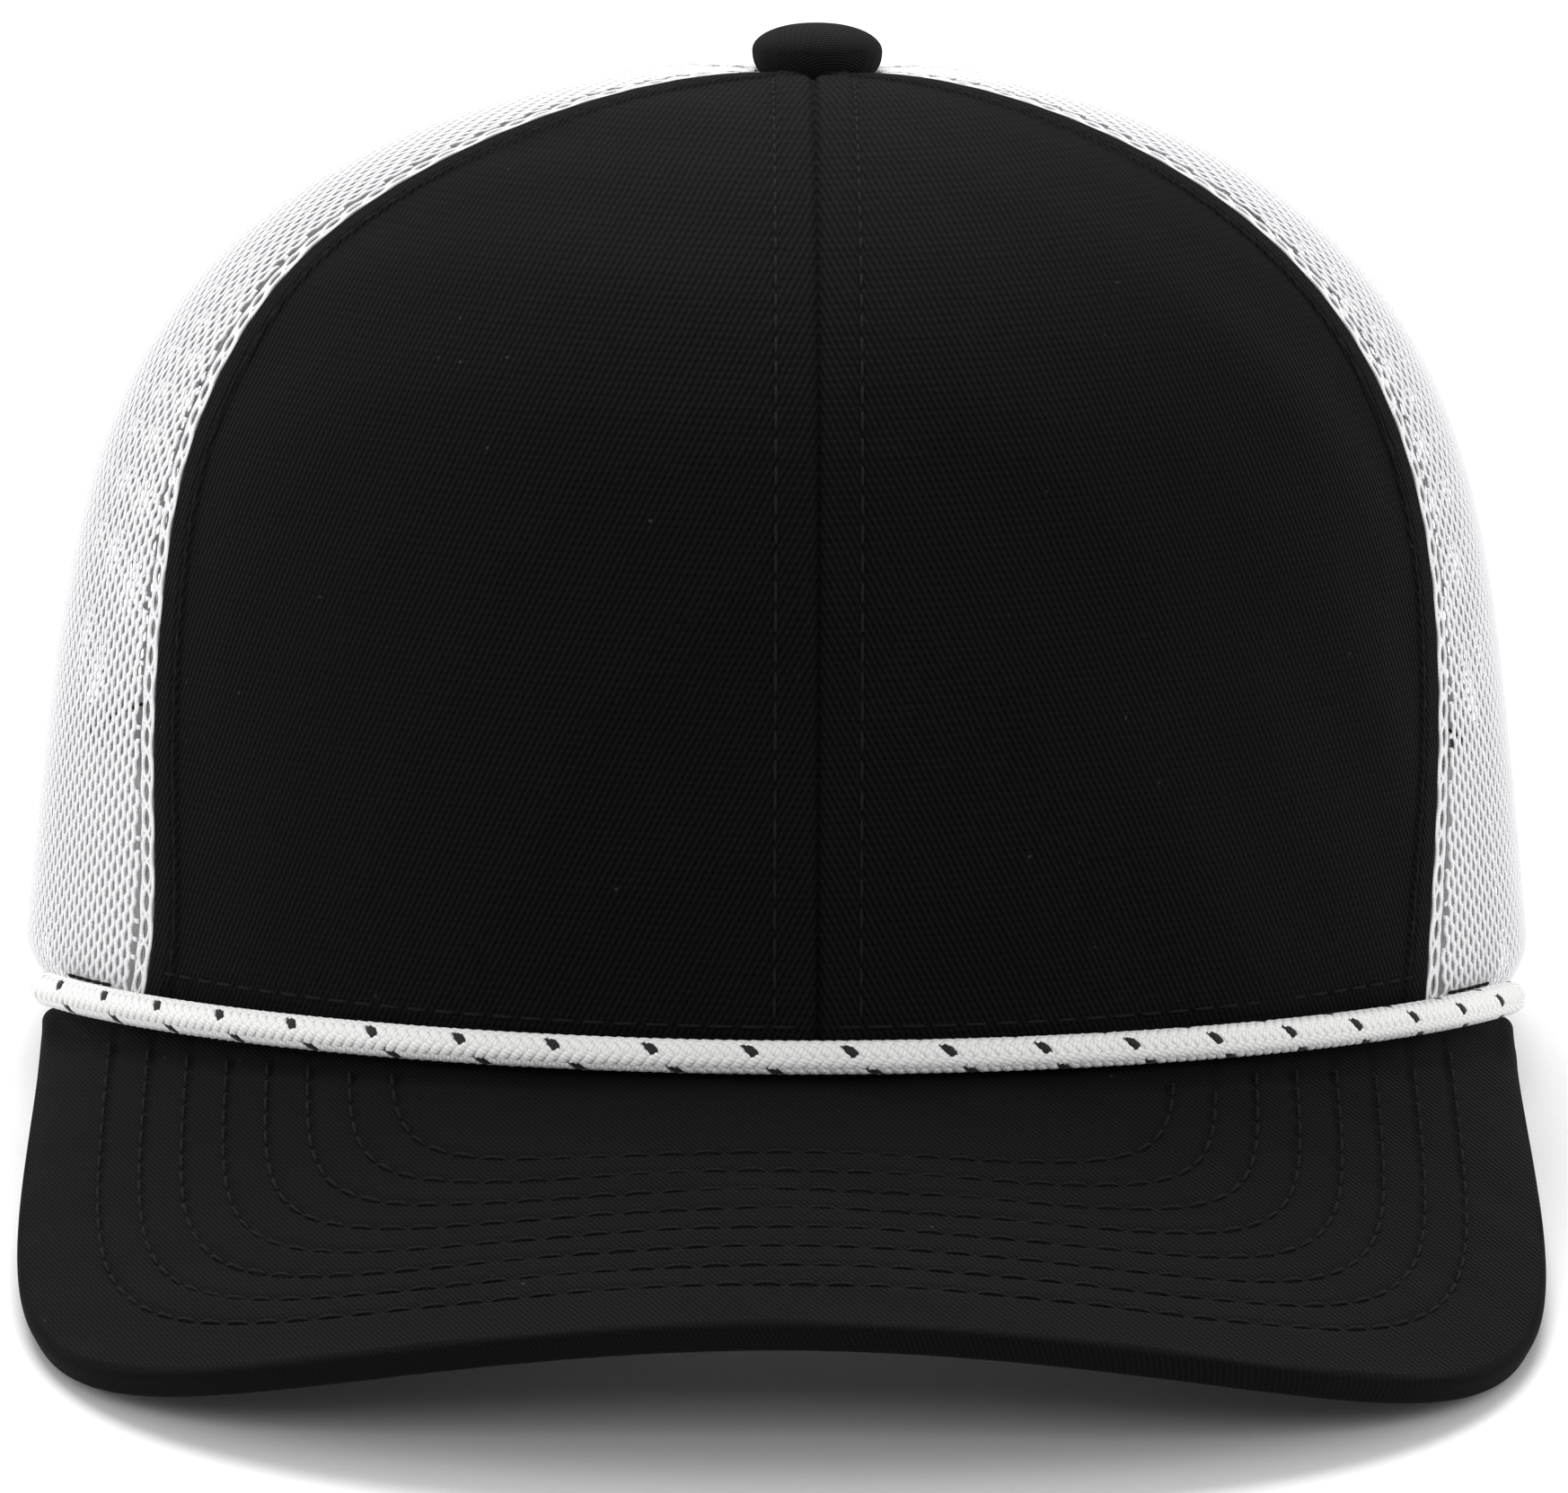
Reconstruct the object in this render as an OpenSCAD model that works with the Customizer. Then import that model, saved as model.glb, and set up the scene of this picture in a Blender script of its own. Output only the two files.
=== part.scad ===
// Trucker cap: six-panel crown with a stiffened twill front and mesh back,
// a curved visor with a rope along its root, and a snap strap at the back.
// Millimetres. The front of the cap faces -Y and +Z is up. The cap rests on the two
// corners of its visor and on its rear hem, with the origin at the bottom centre.
// The crown is worked out in its own frame, with its hem on z = 0 and the button on
// the Z axis, and rest_pose() leans it back onto the surface.

/* [Crown] */
// Width of the crown at the hem
crown_width = 180; // [166:1:194]
// Reach of the crown ahead of the button
crown_front = 100; // [92:1:108]
// Reach of the crown behind the button
crown_back = 102; // [94:1:110]
// Height of the crown above its hem
crown_height = 107; // [98:0.5:118]
// Share of its width that the crown loses towards the top
crown_taper = 0.12; // [0.04:0.01:0.14]
// How square the crown is from the front: 2 is round, more is squarer
crown_square = 4.75; // [3.6:0.05:5.5]
// Turn of the front seams round the crown, in degrees towards the wearer's left
crown_twist = 2.4; // [0:0.2:3]
// How far the top of the crown leans towards the wearer's left
crown_drift = 3.6; // [0:0.2:5]

/* [Panels] */
// Thickness of the twill
twill_thick = 0.8; // [0.6:0.1:1]
// Thickness of the stiffener behind the front panels
buckram_thick = 0.7; // [0.5:0.1:0.8]
// Thickness of the mesh
mesh_thick = 1.2; // [0.8:0.1:1.4]
// Width of the seam tapes
tape_width = 12; // [8:1:13]
// Height of the sweatband
sweatband_height = 28; // [24:1:38]

/* [Visor] */
// Width of the visor
visor_width = 170.8; // [164:0.2:178]
// How far the visor reaches ahead of the crown
visor_length = 65.4; // [58:0.2:74]
// Thickness of the whole visor
visor_thick = 3.2; // [3:0.1:3.6]
// Fall of the visor for each millimetre ahead
visor_fall = 0.257; // [0.2:0.005:0.3]
// Droop of the visor towards its sides, for each square millimetre
visor_droop = 0.0031; // [0.0024:0.0001:0.0034]

/* [Rope] */
// Diameter of the rope
rope_diameter = 4; // [3.4:0.1:4.4]

/* [Button] */
// Diameter of the button
button_diameter = 15.6; // [13:0.2:17]
// Height of the button above its seat
button_height = 5.7; // [5:0.1:7]

/* [Back strap] */
// Half the width of the opening at the hem, along the crown
opening_half = 50; // [44:1:52]
// Height of the opening above the hem
opening_height = 50; // [44:1:56]
// Height of the two straps
strap_height = 18; // [16:1:19]
// Thickness of each strap
strap_thick = 1.3; // [1.1:0.1:1.4]
// Number of pegs, and of holes
snap_count = 7; // [5:1:7]
// Radius of a peg
peg_radius = 1.95; // [1.7:0.05:2]
// Radius of a hole
hole_radius = 2.25; // [2.2:0.05:2.4]

/* [Hidden] */
$fn = 48;

// Colours
black_twill = [0.03, 0.03, 0.035];
white_mesh = [0.93, 0.93, 0.94];
stiff_white = [0.85, 0.85, 0.82];
tape_white = [0.86, 0.86, 0.86];
board_grey = [0.55, 0.56, 0.58];
plastic_black = [0.02, 0.02, 0.02];
bare_metal = [0.75, 0.76, 0.78];

// The front and back of the crown are squarer and rounder than its sides
front_square = 4.55;
front_taper = 0.04;
back_square = 3.6;
back_taper = 0.10;
// The button draws the top of the crown down round it
button_dip = 2.4;
dip_power = 30;
drift_power = 4;
// 1 for what is built as it lies, and -1 for what is built on the left and then mirrored
$side = 1;
// Where the seams meet the hem, in degrees round from the front
side_seam_hem = 53;
side_seam_bow = 9.3;
rear_seam = 118;
// Gap left between neighbouring panels, in degrees
seam_gap = 0.12;
// Where the panels stop under the button, as a share of the way up
panel_top = 0.978;
panel_rows = 20;
eps = 0.004;

// Depths below the crown's outer surface
buckram_depth = twill_thick + 0.1;
tape_depth = 2.1;
tape_thick = 0.6;
band_depth = 2.9;
band_thick = 1.7;

// ---------------------------------------------------------------- crown surface
// s runs from 0 at the hem to 1 at the top, and u is the angle round from the front.
function rise(s) = pow(sin(90 * pow(s, crown_square / 2)), 2 / crown_square);
function s_at(height) =
    pow(asin(pow(height / crown_height, crown_square / 2)) / 90, 2 / crown_square);
function half_width(s) =
    crown_width / 2 * (1 - crown_taper * rise(s)) * cos(90 * pow(s, crown_square / 2));
function reach(s, u) = cos(u) > 0
    ? crown_front * (1 - front_taper * rise(s)) * sqrt(max(0, 1 - pow(rise(s), front_square)))
    : crown_back * (1 - back_taper * rise(s)) * sqrt(max(0, 1 - pow(rise(s), back_square)));
function on_crown(u, s) = [
    half_width(s) * sin(u) + $side * crown_drift * pow(s, drift_power), -reach(s, u) * cos(u),
    crown_height * rise(s) - button_dip * pow(s, dip_power)];
function unit(v) = v / norm(v);
function crown_normal(u, s) = unit(cross(
    on_crown(u + 0.05, s) - on_crown(u - 0.05, s),
    on_crown(u, s + eps) - on_crown(u, max(0, s - eps))));
// A point a distance out from the crown, or inside it if the distance is negative
function crown_point(u, s, out) = on_crown(u, s) + out * crown_normal(u, s);

function side_seam(s) =
    side_seam_hem + side_seam_bow * sin(180 * pow(s, 1.13)) + $side * crown_twist;
// The angle that spans a length round the crown, at a share s of the way up
function span_angle(length, s, u) = length / norm([half_width(s) * cos(u), reach(s, u) * sin(u)]) * 180 / PI;

// ---------------------------------------------------------------- closed shells
function joined(rows) = [for (row = rows) each row];
function sheet_faces(n, m, first, flip) = [
    for (i = [0 : n - 2], j = [0 : m - 2])
        let (a = first + i * m + j, b = a + 1, c = a + m + 1, d = a + m)
        each (flip ? [[a, c, b], [a, d, c]] : [[a, b, c], [a, c, d]])];
function rim(n, m) = concat(
    [for (j = [0 : m - 2]) j],
    [for (i = [0 : n - 2]) i * m + m - 1],
    [for (j = [m - 1 : -1 : 1]) (n - 1) * m + j],
    [for (i = [n - 1 : -1 : 1]) i * m]);

// A closed solid between two grids of points that have the same rows and columns
module shell(outer, inner) {
    n = len(outer);
    m = len(outer[0]);
    edge = rim(n, m);
    wall = [for (k = [0 : len(edge) - 1])
        let (p = edge[k], q = edge[(k + 1) % len(edge)])
        each [[q, p, p + n * m], [q, p + n * m, q + n * m]]];
    polyhedron(
        concat(joined(outer), joined(inner)),
        concat(sheet_faces(n, m, 0, false), sheet_faces(n, m, n * m, true), wall));
}

// A closed solid swept through a list of rings
module sweep(rings) {
    n = len(rings);
    m = len(rings[0]);
    sides = [for (i = [0 : n - 2], j = [0 : m - 1])
        let (a = i * m + j, b = i * m + (j + 1) % m, c = b + m, d = a + m)
        each [[a, b, c], [a, c, d]]];
    polyhedron(joined(rings), concat(
        sides, [[for (j = [m - 1 : -1 : 0]) j]], [[for (j = [0 : m - 1]) (n - 1) * m + j]]));
}

// A piece of the crown between two depths, over a grid of [u, s] pairs
module crown_piece(grid, outer, inner) {
    shell(
        [for (row = grid) [for (p = row) crown_point(p[0], p[1], outer)]],
        [for (row = grid) [for (p = row) crown_point(p[0], p[1], inner)]]);
}

function steps(from, to, n) = [for (i = [0 : n]) from + (to - from) * i / n];

// ---------------------------------------------------------------- resting on a surface
// The visor's outline, as [side, ahead]: t is 0 straight ahead and 1 at its back corner
outline_centre = 32;
side_power = 2.2;
front_power = 5.8;
outline_spread = 2.2;
root_angle = 70;
function outline(t) = let (a = 90 * (1 - pow(max(0, 1 - t), outline_spread))) [
    visor_width / 2 * pow(sin(a), 2 / side_power),
    outline_centre
        + (crown_front + visor_length - outline_centre) * pow(cos(a), 2 / front_power)];
// Height of the middle of the visor above a place on its outline, [side, ahead]
function outline_height(p) =
    0.4 - visor_fall * (p[1] - crown_front) - visor_droop * p[0] * p[0];

opening_angle = opening_half / crown_width * 2 * 180 / PI * 0.985;
rear_foot = crown_back * cos(opening_angle);
lean = max([for (t = [0 : 0.01 : 0.6]) let (p = outline(t))
    atan((visor_thick / 2 - outline_height(p)) / (p[1] + rear_foot))]);
lift = rear_foot * sin(lean) + 0.006;
front_edge = crown_front + visor_length;
front_reach = front_edge * cos(lean) - outline_height([0, front_edge]) * sin(lean);
// How much further back the leaning crown comes than its hem would, at the middle
back_swell = -1.09;
centre_shift = (front_reach - crown_back * cos(lean) - back_swell) / 2;

module rest_pose() {
    translate([0, centre_shift, lift]) rotate([-lean, 0, 0]) children();
}

// ---------------------------------------------------------------- crown panels
function panel_grid(from, to, s_low, columns) = [
    for (i = [0 : columns]) [
        for (s = steps(s_low, panel_top, panel_rows))
            [from(s) + (to(s) - from(s)) * i / columns, s]]];

centre_line = function (s) $side * crown_twist + seam_gap;
side_line_front = function (s) side_seam(s) - seam_gap;
side_line_back = function (s) side_seam(s) + seam_gap;
rear_line_front = function (s) rear_seam - seam_gap;

module front_panel() {
    color(black_twill)
        crown_piece(panel_grid(centre_line, side_line_front, 0, 10), 0, -twill_thick);
}

module front_stiffener() {
    color(stiff_white) crown_piece(
        panel_grid(centre_line, side_line_front, 0.01, 10),
        -buckram_depth, -buckram_depth - buckram_thick);
}

module mesh_side() {
    color(white_mesh)
        crown_piece(panel_grid(side_line_back, rear_line_front, 0, 11), 0, -mesh_thick);
}

// The arch of the opening, as a height above the hem at an angle short of the back
binding_width = 7;
function arch_height(away, grow) = let (
    a = opening_angle + span_angle(grow, 0, 155),
    q = min(1, abs(away) / a))
    (opening_height + grow) * sqrt(max(0, 1 - q * q));

mesh_arch_angle = opening_angle + span_angle(binding_width + 0.3, 0, 155);
arch_columns = 9;
plain_columns = 5;
rear_mesh_columns = concat(
    [for (i = [0 : plain_columns - 1])
        rear_seam + seam_gap
        + (180 - mesh_arch_angle - rear_seam - seam_gap) * i / plain_columns],
    [for (i = [0 : arch_columns]) 180 - mesh_arch_angle * cos(90 * i / arch_columns) - seam_gap]);

module mesh_rear() {
    grid = [for (u = rear_mesh_columns)
        let (low = s_at(arch_height(180 - seam_gap - u, binding_width + 0.3)))
        [for (s = steps(low, panel_top, panel_rows)) [u, s]]];
    color(white_mesh) crown_piece(grid, 0, -mesh_thick);
}

// ---------------------------------------------------------------- seam tapes
tape_foot = s_at(1.5);
tape_top = 0.935;
module seam_tape(line, s_low) {
    grid = [for (side = [-0.5, 0, 0.5]) [for (s = steps(s_low, tape_top, panel_rows))
        [line(s) + side * span_angle(tape_width, s, line(s)), s]]];
    color(tape_white) crown_piece(grid, -tape_depth, -tape_depth - tape_thick);
}

// ---------------------------------------------------------------- sweatband and label
band_end = 139;
band_rows = 3;
band_columns = 58;
module sweatband() {
    grid = [for (i = [0 : band_columns]) [
        for (s = steps(s_at(1), s_at(sweatband_height), band_rows))
            [-band_end + 2 * band_end * i / band_columns, s]]];
    color(black_twill) crown_piece(grid, -band_depth, -band_depth - band_thick);
}

// A blank woven label, sewn flat on the sweatband
label_width = 34;
label_angle = 108;
module care_label() {
    out = -band_depth - band_thick - 0.3;
    half = span_angle(label_width, 0, label_angle) / 2;
    grid = [for (u = steps(label_angle - half, label_angle + half, 6))
        [for (s = steps(s_at(6), s_at(26), 3)) [u, s]]];
    color(white_mesh) crown_piece(grid, out, out - 0.4);
}

// ---------------------------------------------------------------- button
button_seat = crown_height - 1.1;
cover_thick = 0.7;
module dome(radius, height, thick) {
    rotate_extrude() difference() {
        intersection() {
            translate([0, height * 0.42]) scale([radius, height * 0.58]) circle(1, $fn = 96);
            translate([0, -height]) square([radius + 1, 3 * height]);
        }
        translate([-1, -2 * height]) square([radius + 2, 2 * height]);
        translate([0, height * 0.42]) scale([radius - thick, height * 0.58 - thick])
            circle(1, $fn = 96);
        translate([-1, -1]) square([radius * 0.62 + 1, 1 + height * 0.42]);
    }
}

module button_cover() {
    color(black_twill) translate([crown_drift, 0, button_seat])
        dome(button_diameter / 2, button_height, cover_thick);
}

module button_shell() {
    color(bare_metal) translate([crown_drift, 0, button_seat + cover_thick])
        dome(button_diameter / 2 - cover_thick - 0.1, button_height - 2 * cover_thick - 0.1, 0.6);
}

rivet_radius = 1.6;
module button_rivet() {
    color(bare_metal) translate([crown_drift, 0, 0]) {
        translate([0, 0, crown_height - 4.2]) cylinder(h = 0.8, r = 6.4);
        translate([0, 0, crown_height - 3.5]) cylinder(h = 3.9, r = rivet_radius);
        translate([0, 0, crown_height + 0.3]) cylinder(h = 1, r = 3.6);
    }
}

// ---------------------------------------------------------------- visor
// t runs from -1 to 1 across the visor and r from 0 at its root to 1 at its outline.
visor_columns = 36;
visor_rows = 6;
root_gap = 0.45;
// How far the root lies below the hem at the front, and how it dips towards its ends
root_drop = 0.4;
root_dip = 4.8;
dip_spread = 1.3;
function root_point(t) = let (p = crown_point(root_angle * t, 0, root_gap))
    [p[0], p[1], -root_drop - root_dip * pow(1 - cos(root_angle * t), dip_spread)];
function edge_point(t) = let (p = outline(abs(t)))
    [sign(t) * p[0], -p[1], outline_height(p)];
function on_visor(t, r) = root_point(t) * (1 - r) + edge_point(t) * r;
function visor_normal(t, r) = unit(cross(
    on_visor(t + 0.01, r) - on_visor(t - 0.01, r),
    on_visor(t, min(1, r + 0.02)) - on_visor(t, r - 0.02)) * -1);
function visor_point(t, r, out) = on_visor(t, r) + out * visor_normal(t, max(0.15, r));

module visor_layer(low, high, r_from, r_to, t_end) {
    grid = [for (t = steps(-t_end, t_end, visor_columns)) steps(r_from, r_to, visor_rows)];
    shell(
        [for (i = [0 : visor_columns]) let (t = -t_end + 2 * t_end * i / visor_columns)
            [for (r = grid[i]) visor_point(t, r, high)]],
        [for (i = [0 : visor_columns]) let (t = -t_end + 2 * t_end * i / visor_columns)
            [for (r = grid[i]) visor_point(t, r, low)]]);
}

cloth = 0.7;
half_visor = visor_thick / 2;
board_half = half_visor - cloth - 0.15;
board_edge = 0.955;
module visor_board() {
    color(board_grey) visor_layer(-board_half, board_half, 0.02, board_edge, 0.97);
}

module visor_top_cover() {
    color(black_twill) visor_layer(half_visor - cloth, half_visor, 0, 1, 0.995);
}

module visor_under_cover() {
    color(black_twill) visor_layer(-half_visor, -half_visor + cloth, 0, 1, 0.995);
}

// The turned seam allowance that fills the edge between the two covers
module visor_edge_seam() {
    color(black_twill)
        visor_layer(-board_half, board_half, board_edge + 0.02, 1, 0.995);
}

// ---------------------------------------------------------------- rope
rope_sides = 10;
rope_rings = 70;
rope_end = 68.5;
rope_clear = 0.3;
function rope_centre(u) = let (
    out = rope_diameter / 2 + rope_clear,
    p = crown_point(u, 0, out),
    q = root_point(u / root_angle))
    [p[0], p[1], q[2] + half_visor + out];
module rope() {
    rings = [for (i = [0 : rope_rings])
        let (u = -rope_end + 2 * rope_end * i / rope_rings,
            along = unit(rope_centre(u + 0.5) - rope_centre(u - 0.5)),
            side = unit(cross(along, [0, 0, 1])),
            up = cross(side, along),
            near_end = (rope_end - abs(u)) / 2,
            r = rope_diameter / 2 * (near_end < 1 ? 0.45 + 0.55 * sqrt(1 - pow(1 - near_end, 2)) : 1))
        [for (k = [0 : rope_sides - 1])
            rope_centre(u) + r * (cos(-360 * k / rope_sides) * side + sin(-360 * k / rope_sides) * up)]];
    color(white_mesh) sweep(rings);
}

// A run of thread along the top of the rope near each end, against the crown
tack_angle = 61;
tack_length = 6;
tack_radius = 0.25;
tack_above = 1.8;
module rope_end_tacks() {
    color(black_twill) for (side = [-1, 1]) {
        u = side * tack_angle;
        p = crown_point(u, 0, 0.42);
        translate([p[0], p[1], rope_centre(u)[2] + tack_above])
            rotate([0, 0, atan2(crown_front * sin(u), crown_width / 2 * cos(u))])
                rotate([0, 90, 0]) cylinder(h = tack_length, r = tack_radius, center = true);
    }
}

// ---------------------------------------------------------------- opening binding
binding_columns = 40;
module opening_binding() {
    rings = [for (i = [0 : binding_columns])
        let (a = 180 * i / binding_columns,
            inner_away = opening_angle * cos(a),
            outer_away = (opening_angle + span_angle(binding_width, 0, 155)) * cos(a),
            s_in = s_at(opening_height * sin(a)),
            s_out = s_at((opening_height + binding_width) * sin(a)),
            p = [180 - inner_away, s_in],
            q = [180 - outer_away, s_out])
        [crown_point(p[0], p[1], 0.5), crown_point(p[0], p[1], -mesh_thick - 0.4),
            crown_point(q[0], q[1], -mesh_thick - 0.4), crown_point(q[0], q[1], 0.5)]];
    color(tape_white) sweep(rings);
}

// ---------------------------------------------------------------- snap straps
// Both straps are arcs about one upright axis, so that they lie one on the other. Angles
// are measured round that axis from the middle of the back, towards the wearer's left. The
// axis leans forward as the back of the crown does, about a line across the cap.
strap_lean = 6.5;
strap_pivot = 88;
arc_radius = crown_width * crown_width / 4 / crown_back - 0.1;
arc_centre = crown_back - arc_radius;
strap_gap = 0.3;
outer_radius = arc_radius - mesh_thick - 0.7;
inner_radius = outer_radius - strap_thick - strap_gap;
strap_bottom = 2.6;
strap_middle = strap_bottom + strap_height / 2;
hinge_angle = 30.5;
hinge_clear = 1;
root_angle_length = 9.5;
bead_radius = strap_thick / 2;
tip_angle = -17.8;
tip_radius = strap_height / 2 + 0.5;
snap_first = -13.2;
snap_pitch = 6.6;

module at_arc_centre() {
    translate([0, strap_pivot, 0]) rotate([strap_lean, 0, 0])
        translate([0, arc_centre - strap_pivot, 0]) children();
}

module arc_band(radius, thick, from, to, bottom, height) {
    rotate([0, 0, 90 - to]) rotate_extrude(angle = to - from, $fn = 180)
        translate([radius - thick, bottom]) square([thick, height]);
}

module radial_pin(angle, radius, length, r) {
    rotate([0, 0, -angle]) translate([0, radius, strap_middle])
        rotate([-90, 0, 0]) cylinder(h = length, r = r);
}

// A strap from its hinge to its free end, which is rounded off
module strap_blade(radius) {
    hinge_end = hinge_angle - hinge_clear / outer_radius * 180 / PI;
    round_start = tip_angle + tip_radius / radius * 180 / PI;
    difference() {
        arc_band(radius, strap_thick, tip_angle, hinge_end, strap_bottom, strap_height);
        difference() {
            arc_band(radius + 2, strap_thick + 4, tip_angle - 2, round_start,
                strap_bottom - 1, strap_height + 2);
            radial_pin(round_start, radius - 10, 20, tip_radius);
        }
    }
}

// The sewn end of a strap, with a bead where the strap bends
module strap_root(radius) {
    at_arc_centre() {
        arc_band(radius, strap_thick, hinge_angle + 0.3, hinge_angle + root_angle_length,
            strap_bottom, strap_height);
        rotate([0, 0, -hinge_angle]) translate([0, radius - strap_thick / 2, strap_bottom])
            cylinder(h = strap_height, r = bead_radius);
    }
}

module hole_strap() {
    at_arc_centre() difference() {
        strap_blade(outer_radius);
        for (k = [0 : snap_count - 1])
            radial_pin(snap_first + snap_pitch * k, outer_radius - 5, 10, hole_radius);
    }
}

// A round-headed peg that stands out from the strap by its own radius
module peg(angle, sunk = 0.5) {
    rotate([0, 0, -angle]) translate([0, inner_radius - sunk, strap_middle]) rotate([-90, 0, 0])
        rotate_extrude() intersection() {
            translate([0, sunk]) circle(peg_radius, $fn = 96);
            square(3 * peg_radius);
        }
}

module peg_strap() {
    at_arc_centre() {
        strap_blade(inner_radius);
        for (k = [0 : snap_count - 1]) peg(snap_first + snap_pitch * k);
    }
}

// ---------------------------------------------------------------- the nodes
module mirrored() {
    $side = -1;
    mirror([1, 0, 0]) children();
}

side_line = function (s) side_seam(s);
front_line = function (s) crown_twist;
rear_line = function (s) rear_seam;
back_line = function (s) 180;
back_foot = s_at(opening_height + binding_width + 1);

rest_pose() front_panel();  // front_panel_left
rest_pose() mirrored() front_panel();  // front_panel_right
rest_pose() front_stiffener();  // front_stiffener_left
rest_pose() mirrored() front_stiffener();  // front_stiffener_right
rest_pose() mesh_side();  // mesh_side_left
rest_pose() mirrored() mesh_side();  // mesh_side_right
rest_pose() mesh_rear();  // mesh_rear_left
rest_pose() mirrored() mesh_rear();  // mesh_rear_right
rest_pose() seam_tape(front_line, tape_foot);  // seam_tape_front
rest_pose() seam_tape(side_line, tape_foot);  // seam_tape_side_left
rest_pose() mirrored() seam_tape(side_line, tape_foot);  // seam_tape_side_right
rest_pose() seam_tape(rear_line, tape_foot);  // seam_tape_rear_left
rest_pose() mirrored() seam_tape(rear_line, tape_foot);  // seam_tape_rear_right
rest_pose() seam_tape(back_line, back_foot);  // seam_tape_back
rest_pose() sweatband();
rest_pose() care_label();
rest_pose() button_cover();
rest_pose() button_shell();
rest_pose() button_rivet();
rest_pose() visor_board();
rest_pose() visor_top_cover();
rest_pose() visor_under_cover();
rest_pose() visor_edge_seam();
rest_pose() rope();
rest_pose() rope_end_tacks();
rest_pose() opening_binding();
rest_pose() color(plastic_black) strap_root(outer_radius);  // strap_root_left
rest_pose() color(plastic_black) mirrored() strap_root(inner_radius);  // strap_root_right
rest_pose() color(plastic_black) hole_strap();
rest_pose() color(plastic_black) mirrored() peg_strap();
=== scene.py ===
import math

import bpy
import numpy as np
from mathutils import Matrix, Vector


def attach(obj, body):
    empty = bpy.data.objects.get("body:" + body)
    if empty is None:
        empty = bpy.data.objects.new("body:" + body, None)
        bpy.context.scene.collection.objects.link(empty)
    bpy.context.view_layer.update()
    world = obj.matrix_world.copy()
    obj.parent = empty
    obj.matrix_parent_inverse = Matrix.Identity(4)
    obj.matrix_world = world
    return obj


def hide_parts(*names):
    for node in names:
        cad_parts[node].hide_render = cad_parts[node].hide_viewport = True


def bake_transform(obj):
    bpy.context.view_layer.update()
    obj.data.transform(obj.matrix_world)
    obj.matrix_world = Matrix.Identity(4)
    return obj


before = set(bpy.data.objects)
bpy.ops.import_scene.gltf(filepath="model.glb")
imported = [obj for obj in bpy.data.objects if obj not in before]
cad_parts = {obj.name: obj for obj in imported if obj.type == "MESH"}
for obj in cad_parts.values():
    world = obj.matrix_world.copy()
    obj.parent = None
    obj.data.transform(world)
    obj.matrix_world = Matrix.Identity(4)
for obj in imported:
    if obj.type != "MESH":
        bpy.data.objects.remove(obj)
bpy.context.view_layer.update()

# ---------------------------------------------------------------- driving sizes, in mm
# The crown's own frame has its hem on z = 0, the button on the Z axis and its front at -Y.
CROWN_WIDTH, CROWN_FRONT, CROWN_BACK, CROWN_HEIGHT = 180.0, 100.0, 102.0, 107.0
CROWN_TAPER, CROWN_SQUARE = 0.12, 4.75
FRONT_SQUARE, FRONT_TAPER, BACK_SQUARE, BACK_TAPER = 4.55, 0.04, 3.6, 0.10
CROWN_TWIST, CROWN_DRIFT, DRIFT_POWER = 2.4, 3.6, 4
BUTTON_DIP, DIP_POWER = 2.4, 30
SIDE_SEAM_HEM, SIDE_SEAM_BOW, SIDE_SEAM_POWER, REAR_SEAM = 53.0, 9.3, 1.13, 118.0
PANEL_TOP = 0.978
TWILL_THICK, MESH_THICK, BUCKRAM_THICK = 0.8, 1.2, 0.7
TAPE_WIDTH, TAPE_DEPTH, TAPE_THICK = 12.0, 2.1, 0.6
BAND_END, BAND_HEIGHT, BAND_DEPTH, BAND_THICK = 139.0, 28.0, 2.9, 1.7
LABEL_WIDTH, LABEL_ANGLE = 34.0, 108.0
OPENING_HALF, OPENING_HEIGHT, BINDING_WIDTH = 50.0, 50.0, 7.0
VISOR_WIDTH, VISOR_LENGTH, VISOR_THICK = 170.8, 65.4, 3.2
VISOR_FALL, VISOR_DROOP, ROOT_ANGLE, ROOT_GAP = 0.257, 0.0031, 70.0, 0.45
ROOT_DROP, ROOT_DIP, DIP_SPREAD = 0.4, 4.8, 1.3
CORNER_DRAW, CORNER_START, CORNER_LENGTH = 0.016, 95.0, 63.0
OUTLINE_CENTRE, SIDE_POWER, FRONT_POWER, OUTLINE_SPREAD = 32.0, 2.2, 5.8, 2.2
ROPE_RADIUS, ROPE_END, ROPE_CLEAR = 2.0, 68.5, 0.3
BUTTON_RADIUS, BUTTON_HEIGHT, BUTTON_SEAT = 7.8, 5.7, CROWN_HEIGHT - 1.1
STRAP_HEIGHT, STRAP_THICK, STRAP_BOTTOM, STRAP_GAP = 18.0, 1.3, 2.6, 0.3
HINGE_ANGLE, STRAP_LEAN, STRAP_PIVOT = 30.5, math.radians(6.5), 88.0
WEAVE_PITCH = 0.72
WORDS = {1: "left", -1: "right"}


# ---------------------------------------------------------------- small helpers
def unit(v):
    return v / np.maximum(np.linalg.norm(v, axis=-1, keepdims=True), 1e-9)


def bell(d, width):
    return np.exp(-((d / width) ** 2))


def soft_step(d, start, end):
    x = np.clip((d - start) / (end - start), 0, 1)
    return x * x * (3 - 2 * x)


def run_along(points):
    """Length along a line of points, from its first point to each."""
    return np.concatenate([[0], np.cumsum(np.linalg.norm(np.diff(points, axis=0), axis=1))])


def points_at(at, run, points):
    """Points, or normals, at the lengths at of a line with the lengths run."""
    return np.stack([np.interp(at, run, points[:, k]) for k in range(3)], 1)


def paired(a, b):
    """Two arrays side by side on a new last axis, each stretched to the other's shape."""
    return np.stack(np.broadcast_arrays(a, b), -1)


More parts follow.
